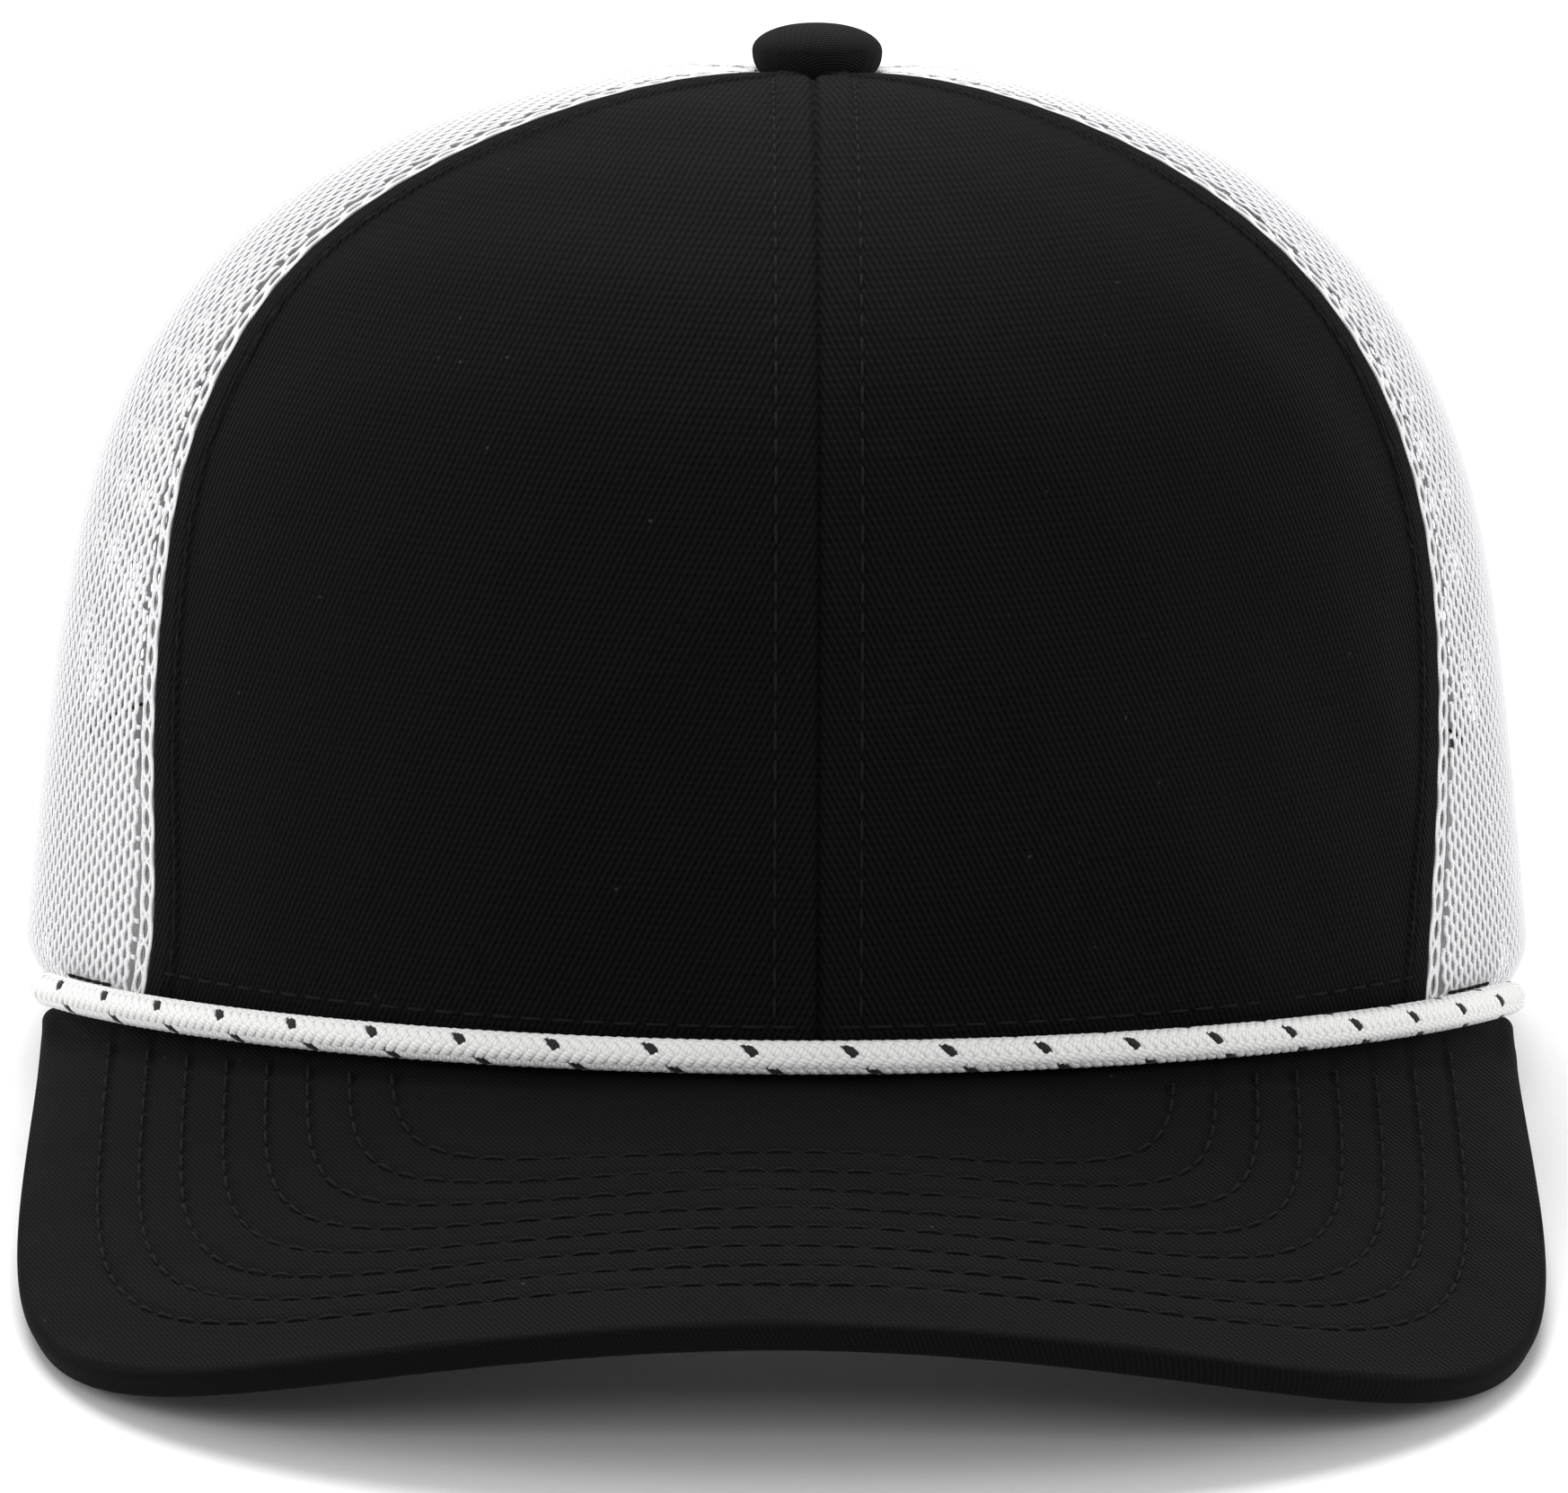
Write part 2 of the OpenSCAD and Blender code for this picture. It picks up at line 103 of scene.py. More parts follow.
# ---------------------------------------------------------------- crown surface
def rise(s):
    """Share of the crown's height at s, which runs from 0 at the hem to 1 at the top."""
    return np.sin(0.5 * np.pi * s ** (CROWN_SQUARE / 2)) ** (2 / CROWN_SQUARE)


def half_width(s):
    narrowing = 1 - CROWN_TAPER * rise(s)
    return CROWN_WIDTH / 2 * narrowing * np.cos(0.5 * np.pi * s ** (CROWN_SQUARE / 2))


def reach(s, u):
    h = rise(s)
    front = CROWN_FRONT * (1 - FRONT_TAPER * h) * np.sqrt(np.maximum(0, 1 - h ** FRONT_SQUARE))
    back = CROWN_BACK * (1 - BACK_TAPER * h) * np.sqrt(np.maximum(0, 1 - h ** BACK_SQUARE))
    return np.where(np.cos(np.radians(u)) > 0, front, back)


def on_crown(u, s, side=1):
    """Points of the crown's outer surface at u degrees round from the front. What is built for
    side -1 is mirrored at the end, so the lean towards the wearer's left changes sign there."""
    u, s = np.broadcast_arrays(np.asarray(u, float), np.asarray(s, float))
    a = np.radians(u)
    x = half_width(s) * np.sin(a) + side * CROWN_DRIFT * s ** DRIFT_POWER
    z = CROWN_HEIGHT * rise(s) - BUTTON_DIP * s ** DIP_POWER
    return np.stack([x, -reach(s, u) * np.cos(a), z], -1)


def crown_normal(u, s, side=1):
    u, s = np.broadcast_arrays(np.asarray(u, float), np.asarray(s, float))
    round_it = on_crown(u + 0.05, s, side) - on_crown(u - 0.05, s, side)
    up_it = on_crown(u, s + 0.004, side) - on_crown(u, np.maximum(0, s - 0.004), side)
    return unit(np.cross(round_it, up_it))


def crown_point(u, s, out, side=1):
    return on_crown(u, s, side) + np.asarray(out)[..., None] * crown_normal(u, s, side)


# How the seam on the wearer's right strays from the mirror image of the other: in degrees at
# the hem with the mm it fades over, then swells in degrees at a height with a spread in mm.
STRAY_HEM, STRAY_FADE = 4.8, 10.0
STRAY_SWELLS = ((1.8, 90.0, 12.0), (-0.9, 50.0, 15.0))


def side_seam(s, side):
    bow = SIDE_SEAM_BOW * np.sin(np.pi * np.asarray(s, float) ** SIDE_SEAM_POWER)
    if side > 0:
        return SIDE_SEAM_HEM + bow + CROWN_TWIST
    z = CROWN_HEIGHT * rise(np.asarray(s, float))
    stray = STRAY_HEM * np.exp(-z / STRAY_FADE)
    for swell, height, spread in STRAY_SWELLS:
        stray = stray + swell * bell(z - height, spread)
    return SIDE_SEAM_HEM + bow - CROWN_TWIST + stray


def span_angle(length, s, u):
    """Degrees round the crown that length mm takes up at u, s."""
    a = np.radians(u)
    speed = np.hypot(half_width(s) * np.cos(a), reach(s, u) * np.sin(a))
    return np.degrees(length / speed)


def s_at(height):
    """The s of a height in mm: rise() turned round."""
    share = np.clip(np.asarray(height, float) / CROWN_HEIGHT, 0, 1)
    return (2 / np.pi * np.arcsin(share ** (CROWN_SQUARE / 2))) ** (2 / CROWN_SQUARE)


S_FINE = np.linspace(0, 0.999, 1200)
U_FINE = np.linspace(-12, 194, 620)


def climb(u):
    """Length up the crown at each of S_FINE, along the line at u degrees."""
    return run_along(on_crown(u, S_FINE))


def girth(s):
    """Length round the crown at each of U_FINE, one row for each height s."""
    points = on_crown(U_FINE[None, :], np.asarray(s)[:, None])
    steps = np.linalg.norm(np.diff(points, axis=1), axis=2)
    return np.concatenate([np.zeros((len(steps), 1)), np.cumsum(steps, axis=1)], axis=1)


# ---------------------------------------------------------------- visor surface
def outline(t):
    """[side, ahead] on the visor's outline: t is 0 straight ahead and 1 at its back corner."""
    a = 0.5 * np.pi * (1 - np.maximum(0, 1 - t) ** OUTLINE_SPREAD)
    ahead = CROWN_FRONT + VISOR_LENGTH - OUTLINE_CENTRE
    x = VISOR_WIDTH / 2 * np.sin(a) ** (2 / SIDE_POWER)
    return x, OUTLINE_CENTRE + ahead * np.maximum(0, np.cos(a)) ** (2 / FRONT_POWER)


def outline_height(x, f):
    """The visor falls towards its front and droops to its sides."""
    return 0.4 - VISOR_FALL * (f - CROWN_FRONT) - VISOR_DROOP * x * x


def root_point(t):
    p = crown_point(ROOT_ANGLE * t, 0.0, ROOT_GAP)
    p[..., 2] = -ROOT_DROP - ROOT_DIP * (1 - np.cos(np.radians(ROOT_ANGLE * t))) ** DIP_SPREAD
    return p


def on_visor(t, r):
    """A point of the visor's middle: t is -1 to 1 across it, r is 0 at its root and 1 outside."""
    t, r = np.broadcast_arrays(np.asarray(t, float), np.asarray(r, float))
    x, f = outline(np.abs(t))
    x = x * (1 - CORNER_DRAW * np.clip((CORNER_START - f) / CORNER_LENGTH, 0, 1) ** 2)
    edge = np.stack([np.sign(t) * x, -f, outline_height(x, f)], -1)
    return root_point(t) * (1 - r[..., None]) + edge * r[..., None]


def visor_normal(t, r):
    t, r = np.broadcast_arrays(np.asarray(t, float), np.asarray(r, float))
    r = np.maximum(0.15, r)
    across = on_visor(t + 0.01, r) - on_visor(t - 0.01, r)
    outwards = on_visor(t, np.minimum(1, r + 0.02)) - on_visor(t, r - 0.02)
    return -unit(np.cross(across, outwards))


# ---------------------------------------------------------------- resting on the surface
opening_angle = math.degrees(OPENING_HALF / CROWN_WIDTH * 2 * 0.985)
rear_foot = CROWN_BACK * math.cos(math.radians(opening_angle))
side_x, side_f = outline(np.arange(0, 0.61, 0.01))
lean = float(np.arctan((VISOR_THICK / 2 - outline_height(side_x, side_f)) / (side_f + rear_foot)).max())
lift = rear_foot * math.sin(lean) + 0.006
visor_front = CROWN_FRONT + VISOR_LENGTH
front_reach = visor_front * math.cos(lean) - outline_height(0, visor_front) * math.sin(lean)
shift = (front_reach - CROWN_BACK * math.cos(lean) + 1.09) / 2


def to_row(points):
    """Points of the crown's frame, in mm, to the row frame, in metres."""
    p = np.asarray(points, float)
    y = p[..., 1] * math.cos(lean) + p[..., 2] * math.sin(lean) + shift
    z = -p[..., 1] * math.sin(lean) + p[..., 2] * math.cos(lean) + lift
    return np.stack([p[..., 0], y, z], -1) / 1000


# ---------------------------------------------------------------- mesh building
def volume_of(v, quads):
    a, b, c, d = (v[quads[:, k]] for k in range(4))
    first = np.einsum("ij,ij->i", a, np.cross(b, c)).sum()
    return first + np.einsum("ij,ij->i", a, np.cross(c, d)).sum()


def put_in_scene(name, data):
    obj = bpy.data.objects.new(name, data)
    bpy.context.scene.collection.objects.link(obj)
    return obj


def piece(name, v, quads, materials, side=1, uv=None, kinds=None, replaces=(), slot=None, ride=True):
    """One Blender object from points in the crown's frame and quads. A quad whose last two
    corners are the same point is a triangle. kinds picks a material for each quad."""
    v, quads = np.array(v, float), np.asarray(quads, int)
    v[:, 0] *= side
    if volume_of(v, quads) < 0:
        quads = quads[:, ::-1]
    used = np.unique(quads)
    number = np.zeros(len(v), int)
    number[used] = np.arange(len(used))
    v, quads = v[used], number[quads]
    mesh = bpy.data.meshes.new(name)
    mesh.vertices.add(len(v))
    mesh.vertices.foreach_set("co", to_row(v).astype(np.float32).ravel())
    doubled = [quads[:, k] == quads[:, (k + 1) % 4] for k in range(4)]
    keep = ~np.stack(doubled, 1)
    counts = keep.sum(1)
    corners = quads[keep]
    mesh.loops.add(len(corners))
    mesh.loops.foreach_set("vertex_index", corners.astype(np.int32))
    mesh.polygons.add(len(quads))
    starts = np.concatenate([[0], np.cumsum(counts)[:-1]])
    mesh.polygons.foreach_set("loop_start", starts.astype(np.int32))
    mesh.polygons.foreach_set("loop_total", counts.astype(np.int32))
    mesh.polygons.foreach_set("use_smooth", np.ones(len(quads), bool))
    for m in materials:
        mesh.materials.append(m)
    if kinds is not None:
        mesh.polygons.foreach_set("material_index", np.asarray(kinds, np.int32))
    if uv is not None:
        layer = mesh.uv_layers.new(name="UVMap")
        layer.data.foreach_set("uv", np.asarray(uv, np.float32)[used][corners].ravel())
    mesh.update()
    mesh.validate()
    obj = put_in_scene(name, mesh)
    if ride:
        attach(obj, "cap")
    if replaces:
        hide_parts(*replaces)
    return obj


def grid_quads(n, m, first=0, wrap=False):
    """Quads over an n by m grid of points. With wrap, each row's end joins its start."""
    i, j = np.meshgrid(np.arange(n - 1), np.arange(m if wrap else m - 1), indexing="ij")
    i, j, k = i.ravel(), j.ravel(), ((j + 1) % m).ravel()
    return first + np.stack([i * m + j, i * m + k, (i + 1) * m + k, (i + 1) * m + j], 1)


def shell_mesh(outer, inner, uv=None):
    """Points, quads and uv of the closed solid between two grids of the same size."""
    n, m = outer.shape[:2]
    edge = np.concatenate([np.arange(m - 1), np.arange(n - 1) * m + m - 1,
                           (n - 1) * m + np.arange(m - 1, 0, -1), np.arange(n - 1, 0, -1) * m])
    after = np.roll(edge, -1)
    wall = np.stack([after, edge, edge + n * m, after + n * m], 1)
    back = grid_quads(n, m, n * m)[:, ::-1]
    v = np.concatenate([outer.reshape(-1, 3), inner.reshape(-1, 3)])
    both = None if uv is None else np.concatenate([uv.reshape(-1, 2)] * 2)
    return v, np.concatenate([grid_quads(n, m), back, wall]), both


def joined(parts):
    """Several (points, quads, uv, kind) as one set, with a kind for each quad."""
    v, q, uv, kinds, first = [], [], [], [], 0
    for points, quads, coords, kind in parts:
        v.append(points)
        q.append(quads + first)
        uv.append(coords if coords is not None else np.zeros((len(points), 2)))
        kinds.append(np.full(len(quads), kind))
        first += len(points)
    return np.concatenate(v), np.concatenate(q), np.concatenate(uv), np.concatenate(kinds)


def joined_piece(name, parts, materials, side=1, **says):
    v, q, uv, kinds = joined(parts)
    return piece(name, v, q, materials, side, uv, kinds, **says)


def tube_quads(n, sides, order=1):
    """Quads of n rings of points with both ends closed. order -1 is for rings wound the other way."""
    caps = []
    for first, way in ((0, -order), ((n - 1) * sides, order)):
        for k in range(0, sides - 2, 2):
            caps.append((first + np.array([0, k + 1, k + 2, min(k + 3, sides - 1)]))[::way])
    return np.concatenate([grid_quads(n, sides, wrap=True), np.array(caps)])


def tube(centres, side_dir, up_dir, half_side, half_up, sides=6, kind=0):
    """A flattened tube along one path, with its length and its way round as uv in mm."""
    n = len(centres)
    a = 2 * np.pi * np.arange(sides) / sides
    half_side = np.broadcast_to(np.asarray(half_side, float), (n,))[:, None, None]
    half_up = np.broadcast_to(np.asarray(half_up, float), (n,))[:, None, None]
    ring = (half_side * np.cos(a)[None, :, None] * side_dir[:, None, :]
            + half_up * np.sin(a)[None, :, None] * up_dir[:, None, :])
    v = (centres[:, None, :] + ring).reshape(-1, 3)
    uv = paired(a[None, :], run_along(centres)[:, None]).reshape(-1, 2)
    return v, tube_quads(n, sides), uv, kind


def path_frames(points, normals):
    """Directions to the side of a path and up from it, square to the path."""
    along = unit(np.gradient(points, axis=0))
    side_dir = unit(np.cross(along, normals))
    return side_dir, unit(np.cross(side_dir, along))


def stitch_row(points, normals, pitch=3.6, length=2.8, radius=0.26, proud=0.12, kind=0):
    """Short tubes of thread along a line, each with its two ends drawn into the cloth."""
    run = run_along(points)
    starts = np.arange(0.3, run[-1] - length, pitch)
    places = np.array([0, 0.1, 0.3, 0.5, 0.7, 0.9, 1])
    height = np.array([-0.9, 0.2, 1, 1.1, 1, 0.2, -0.9]) * proud
    swell = np.array([0.5, 0.9, 1, 1, 1, 0.9, 0.5]) * radius
    parts = []
    for start in starts:
        at = start + places * length
        c = points_at(at, run, points)
        n = unit(points_at(at, run, normals))
        parts.append(tube(c + height[:, None] * n, *path_frames(c, n), swell, swell, 6, kind))
    return parts


# ---------------------------------------------------------------- materials
class Shader:
    """A material's node tree, with short ways to add what the cloths share."""

    def __init__(self, name):
        self.material = bpy.data.materials.new(name)
        self.material.use_nodes = True
        self.tree = self.material.node_tree
        self.surface = self.tree.nodes["Principled BSDF"]

    def node(self, kind, **values):
        made = self.tree.nodes.new(kind)
        for key, value in values.items():
            setattr(made, key, value)
        return made

    def link(self, out, into):
        self.tree.links.new(out, into)

    def math(self, operation, a, b=0.0, c=0.0):
        made = self.node("ShaderNodeMath", operation=operation)
        for socket, value in zip(made.inputs, (a, b, c)):
            if isinstance(value, (int, float)):
                socket.default_value = value
            else:
                self.link(value, socket)
        return made.outputs[0]

    def plus(self, a, b):
        return self.math("ADD", a, b)

    def times(self, a, b):
        return self.math("MULTIPLY", a, b)

    def uv(self):
        split = self.node("ShaderNodeSeparateXYZ")
        self.link(self.node("ShaderNodeUVMap", uv_map="UVMap").outputs[0], split.inputs[0])
        return split.outputs[0], split.outputs[1]

    def place(self):
        return self.node("ShaderNodeTexCoord").outputs["Object"]

    def noise(self, scale, detail=3.0, vector=None, roughness=0.5):
        made = self.node("ShaderNodeTexNoise")
        made.inputs["Scale"].default_value = scale
        made.inputs["Detail"].default_value = detail
        made.inputs["Roughness"].default_value = roughness
        self.link(vector if vector is not None else self.place(), made.inputs["Vector"])
        return made.outputs[0]

    def ramp(self, value, low, high, start=0.0, end=1.0):
        made = self.node("ShaderNodeMapRange")
        self.link(value, made.inputs["Value"])
        for key, number in (("From Min", start), ("From Max", end), ("To Min", low), ("To Max", high)):
            made.inputs[key].default_value = number
        return made.outputs[0]

    def mix(self, share, a, b):
        made = self.node("ShaderNodeMix", data_type="RGBA")
        self.link(share, made.inputs["Factor"])
        for socket, value in ((made.inputs[6], a), (made.inputs[7], b)):
            if isinstance(value, tuple):
                socket.default_value = (*value, 1)
            else:
                self.link(value, socket)
        return made.outputs[2]

    def bump(self, height, distance, strength=1.0, under=None):
        made = self.node("ShaderNodeBump")
        made.inputs["Distance"].default_value = distance
        made.inputs["Strength"].default_value = strength
        self.link(height, made.inputs["Height"])
        if under is not None:
            self.link(under, made.inputs["Normal"])
        return made.outputs[0]

    def finish(self, colour, normal, roughness, **values):
        """values are constants, set on the shader's own sockets."""
        self.link(colour, self.surface.inputs["Base Color"])
        self.link(normal, self.surface.inputs["Normal"])
        if isinstance(roughness, float):
            self.surface.inputs["Roughness"].default_value = roughness
        else:
            self.link(roughness, self.surface.inputs["Roughness"])
        for key, value in values.items():
            self.surface.inputs[key.replace("_", " ")].default_value = value
        return self.material


def wave(shader, value):
    """0 to 1 and back, once for each 1 of value."""
    turned = shader.math("SINE", shader.times(value, 2 * math.pi))
    return shader.math("MULTIPLY_ADD", turned, 0.5, 0.5)


def twill(name, ridge, valley, angle=62.0, pitch=WEAVE_PITCH, depth=0.00011, lint=0.0):
    """Diagonal ridges of yarn, on uv in mm."""
    sh = Shader(name)
    x, y = sh.uv()
    ca, sa = math.cos(math.radians(angle)), math.sin(math.radians(angle))
    wobble = sh.ramp(sh.noise(140, 2), -0.35, 0.35)
    across = sh.plus(sh.times(x, sa / pitch), sh.times(y, -ca / pitch))
    across = sh.plus(across, wobble)
    along = sh.plus(sh.times(x, ca / pitch), sh.times(y, sa / pitch))
    step = sh.times(sh.math("FLOOR", across), 0.37)
    ridge_shape = sh.math("POWER", wave(sh, across), 0.8)
    yarn = wave(sh, sh.plus(sh.times(along, 0.75), step))
    height = sh.plus(sh.times(ridge_shape, 0.72), sh.times(yarn, 0.28))
    fuzz = sh.noise(5200, 3)
    worn = sh.ramp(sh.noise(34, 4), 0.72, 1.28)
    tone = sh.times(sh.times(height, worn), sh.ramp(fuzz, 0.6, 1.4))
    colour = sh.mix(tone, valley, ridge)
    if lint:
        specks = sh.node("ShaderNodeTexVoronoi")
        specks.inputs["Scale"].default_value = 260
        sh.link(sh.place(), specks.inputs["Vector"])
        small = sh.ramp(specks.outputs["Distance"], 1, 0, 0.02, 0.07)
        some = sh.math("GREATER_THAN", sh.noise(75, 1), 0.60)
        colour = sh.mix(sh.times(small, some), colour, (lint, lint, lint * 0.95))
    fine = sh.bump(fuzz, 0.00003, 0.6)
    normal = sh.bump(height, depth, 1.0, fine)
    return sh.finish(colour, normal, sh.ramp(height, 0.92, 0.8),
                     Specular_IOR_Level=0.045, Sheen_Weight=0.008, Sheen_Roughness=0.45)


def knit(name, light, dark, ribs=0.42, depth=0.00006, specular=0.3, sheen=0.12):
    """Soft thread: fine ribs along and across the yarn, on uv of way round and length in mm."""
    sh = Shader(name)
    around, along = sh.uv()
    plies = wave(sh, sh.plus(sh.times(along, 1 / ribs), sh.times(around, 1 / math.pi)))
    fuzz = sh.noise(6500, 3)
    height = sh.plus(sh.times(plies, 0.7), sh.times(fuzz, 0.5))
    soil = sh.ramp(sh.noise(60, 3), -0.12, 0.12)
    colour = sh.mix(sh.plus(height, soil), dark, light)
    return sh.finish(colour, sh.bump(height, depth), 0.75,
                     Specular_IOR_Level=specular, Sheen_Weight=sheen, Sheen_Roughness=0.4)


def plain_weave(name, light, dark, pitch=0.55, rough=0.85, depth=0.00008):
    """Over and under, square to the cloth, on uv in mm."""
    sh = Shader(name)
    x, y = sh.uv()
    wobble = sh.ramp(sh.noise(240, 2), -0.2, 0.2)
    a = wave(sh, sh.plus(sh.times(x, 1 / pitch), wobble))
    b = wave(sh, sh.plus(sh.times(y, 1 / pitch), wobble))
    height = sh.math("ABSOLUTE", sh.math("SUBTRACT", a, b))
    fuzz = sh.noise(5200, 3)
    tone = sh.times(sh.ramp(height, 0.55, 1), sh.ramp(fuzz, 0.75, 1.25))
    colour = sh.mix(tone, dark, light)
    return sh.finish(colour, sh.bump(height, depth, 1.0, sh.bump(fuzz, 0.00003)), rough,
                     Specular_IOR_Level=0.25, Sheen_Weight=0.05, Sheen_Roughness=0.5)


def plastic(name, light, dark, rough):
    sh = Shader(name)
    grain = sh.noise(2600, 2)
    blotch = sh.noise(90, 4)
    colour = sh.mix(blotch, dark, light)
    scuffs = sh.ramp(sh.noise(420, 5, roughness=0.7), rough - 0.08, rough + 0.14, 0.3, 0.7)
    return sh.finish(colour, sh.bump(grain, 0.000015, 0.7), scuffs, Specular_IOR_Level=0.45)


def metal(name):
    sh = Shader(name)
    brushed = sh.noise(900, 4)
    colour = sh.mix(brushed, (0.56, 0.56, 0.55), (0.72, 0.72, 0.71))
    return sh.finish(colour, sh.bump(brushed, 0.00001, 0.5), sh.ramp(brushed, 0.28, 0.46), Metallic=1.0)


BLACK_RIDGE, BLACK_VALLEY = (0.0058, 0.0058, 0.0061), (0.0012, 0.0012, 0.0013)
front_twill = twill("front_twill", BLACK_RIDGE, BLACK_VALLEY, angle=118.0, lint=0.03)
# The visor's rim is the top cover's own cloth turned down over the edge. Its darker tone here is painted
# shade on that downturned edge, not a different cloth.
rim_twill_painted_shade = twill("rim_twill_painted_shade", (0.0042, 0.0042, 0.0044), (0.0020, 0.0020, 0.0021), angle=-62.0, pitch=0.5,
                  depth=0.00003)
visor_twill = twill("visor_twill", (0.0088, 0.0088, 0.0091), BLACK_VALLEY, angle=-62.0, pitch=0.58,
                    lint=0.05)
button_twill = twill("button_twill", (0.0200, 0.0200, 0.0206), (0.004, 0.004, 0.004), angle=14.0,
                     pitch=0.66)
band_twill = twill("band_twill", (0.72, 0.72, 0.73), (0.50, 0.50, 0.51), angle=45.0, pitch=0.6)
black_thread = knit("black_thread", (0.013, 0.013, 0.0134), (0.004, 0.004, 0.004), depth=0.00003,
                    specular=0.06, sheen=0.008)
white_knit = knit("white_knit", (0.88, 0.88, 0.90), (0.76, 0.76, 0.78))
white_thread = knit("white_thread", (0.82, 0.82, 0.82), (0.60, 0.60, 0.60), depth=0.00003)
white_tape = plain_weave("white_tape", (0.80, 0.80, 0.80), (0.58, 0.58, 0.59))
white_twill = twill("white_twill", (0.88, 0.88, 0.89), (0.60, 0.60, 0.62), angle=48.0, pitch=0.6)
buckram = plain_weave("buckram", (0.80, 0.79, 0.75), (0.48, 0.47, 0.44), pitch=1.1, depth=0.0002)
label_satin = plain_weave("label_satin", (0.84, 0.84, 0.82), (0.66, 0.66, 0.64), pitch=0.28, rough=0.5)
rope_yarn = knit("rope_yarn", (0.92, 0.915, 0.91), (0.70, 0.69, 0.685), ribs=0.5)
tracer_yarn = knit("tracer_yarn", (0.020, 0.018, 0.017), (0.005, 0.005, 0.005), ribs=0.5)
strap_plastic = plastic("strap_plastic", (0.014, 0.014, 0.015), (0.009, 0.009, 0.010), 0.34)
board_plastic = plastic("board_plastic", (0.02, 0.02, 0.021), (0.012, 0.012, 0.013), 0.8)
bare_metal = metal("bare_metal")


def swap_material(node, material):
    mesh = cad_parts[node].data
    mesh.materials.clear()
    mesh.materials.append(material)


for node_name in ("strap_root_left", "strap_root_right", "hole_strap", "peg_strap"):
    swap_material(node_name, strap_plastic)
for node_name in ("button_shell", "button_rivet"):
    swap_material(node_name, bare_metal)
swap_material("visor_board", board_plastic)


# ---------------------------------------------------------------- camera
# The camera looks from the front, a little above and a little to the wearer's right.
FRAME_WIDTH, CAMERA_DISTANCE, SENSOR_WIDTH = 187.97, 1300.0, 36.0
ELEVATION, YAW, ROLL = math.radians(7.5) + lean, math.radians(0.6), math.radians(0.5)
OFF_AXIS, AIM_HEIGHT = 0.79, 24.8
rightwards = Vector((math.cos(YAW), -math.sin(YAW), 0))
level_back = Vector((-math.sin(YAW), -math.cos(YAW), 0))
backwards = level_back * math.cos(ELEVATION) + Vector((0, 0, math.sin(ELEVATION)))
target = Vector(to_row(np.array([0.0, 0.0, AIM_HEIGHT]))) + rightwards * OFF_AXIS / 1000
camera_data = bpy.data.cameras.new("camera")
camera_data.sensor_width = SENSOR_WIDTH
camera_data.lens = SENSOR_WIDTH * CAMERA_DISTANCE / FRAME_WIDTH
camera_data.clip_start, camera_data.clip_end = 0.05, 30
camera = put_in_scene("camera", camera_data)
facing = (-backwards).to_track_quat("-Z", "Y").to_matrix().to_4x4() @ Matrix.Rotation(ROLL, 4, "Z")
camera.matrix_world = Matrix.Translation(target + backwards * CAMERA_DISTANCE / 1000) @ facing
bpy.context.scene.camera = camera


# ---------------------------------------------------------------- front panels
rng = np.random.default_rng(7)
SWELLS = [(rng.uniform(0.02, 0.075, 3), rng.uniform(0, 6.28), rng.uniform(0.4, 1)) for _ in range(9)]


def unevenness(p):
    """Slow swells of hand-sewn cloth, about -1 to 1."""
    total = sum(k * np.sin(p @ (w * 6.28 / 2) + phase) for w, phase, k in SWELLS)
    return total / 3


SEAM_ROW, EDGE_ROW = 4.8, 4.7
# The weave's second coordinate is part length up the cloth and part height.
WEAVE_CLIMB, WEAVE_HEIGHT = 0.2, 0.8


def panel_rows(u_middle, s_low, s_high, spacing):
    """Heights s from s_low to s_high that are spacing mm apart up the crown, and that climb."""
    run = climb(u_middle)
    low, high = np.interp([s_low, s_high], S_FINE, run)
    marks = np.linspace(low, high, max(4, int((high - low) / spacing)))
    return np.interp(marks, run, S_FINE), marks


def placed_across(s, u_from, u_to, shares):
    """Angles u that split each row from u_from to u_to at shares of its length, with the
    lengths from both ends."""
    table = girth(s)
    u = np.empty((len(s), len(shares)))
    near = np.empty_like(u)
    for k in range(len(s)):
        start, end = np.interp([u_from[k], u_to[k]], U_FINE, table[k])
        at = start + shares * (end - start)
        u[k] = np.interp(at, table[k], U_FINE)
        near[k] = at - start
    return u, near, near[:, -1:] - near


def panel_surface(d0, d1, climbed, p):
    """How far the twill stands out: seam rolls, folded allowances, stitch grooves, puckers."""
    pull = np.sin(climbed * 2 * np.pi / 4.1 + 0.7 * np.sin(climbed * 0.31))
    out = 0.22 * unevenness(p) * soft_step(np.minimum(d0, d1), 1, 12)
    out = out - 0.70 * bell(d0, 0.5) + 0.26 * (1 - soft_step(d0, SEAM_ROW - 0.2, SEAM_ROW + 1.3))
    out = out - 0.26 * bell(d0 - SEAM_ROW, 0.42) + 0.05 * pull * bell(d0 - SEAM_ROW, 1.8)
    out = out + 0.40 * (1 - soft_step(d1, EDGE_ROW + 0.1, EDGE_ROW + 0.9)) - 0.30 * bell(d1, 0.5)
    out = out - 0.16 * bell(d1 - EDGE_ROW + 0.3, 0.4) + 0.06 * pull * bell(d1 - EDGE_ROW, 1.6)
    return out


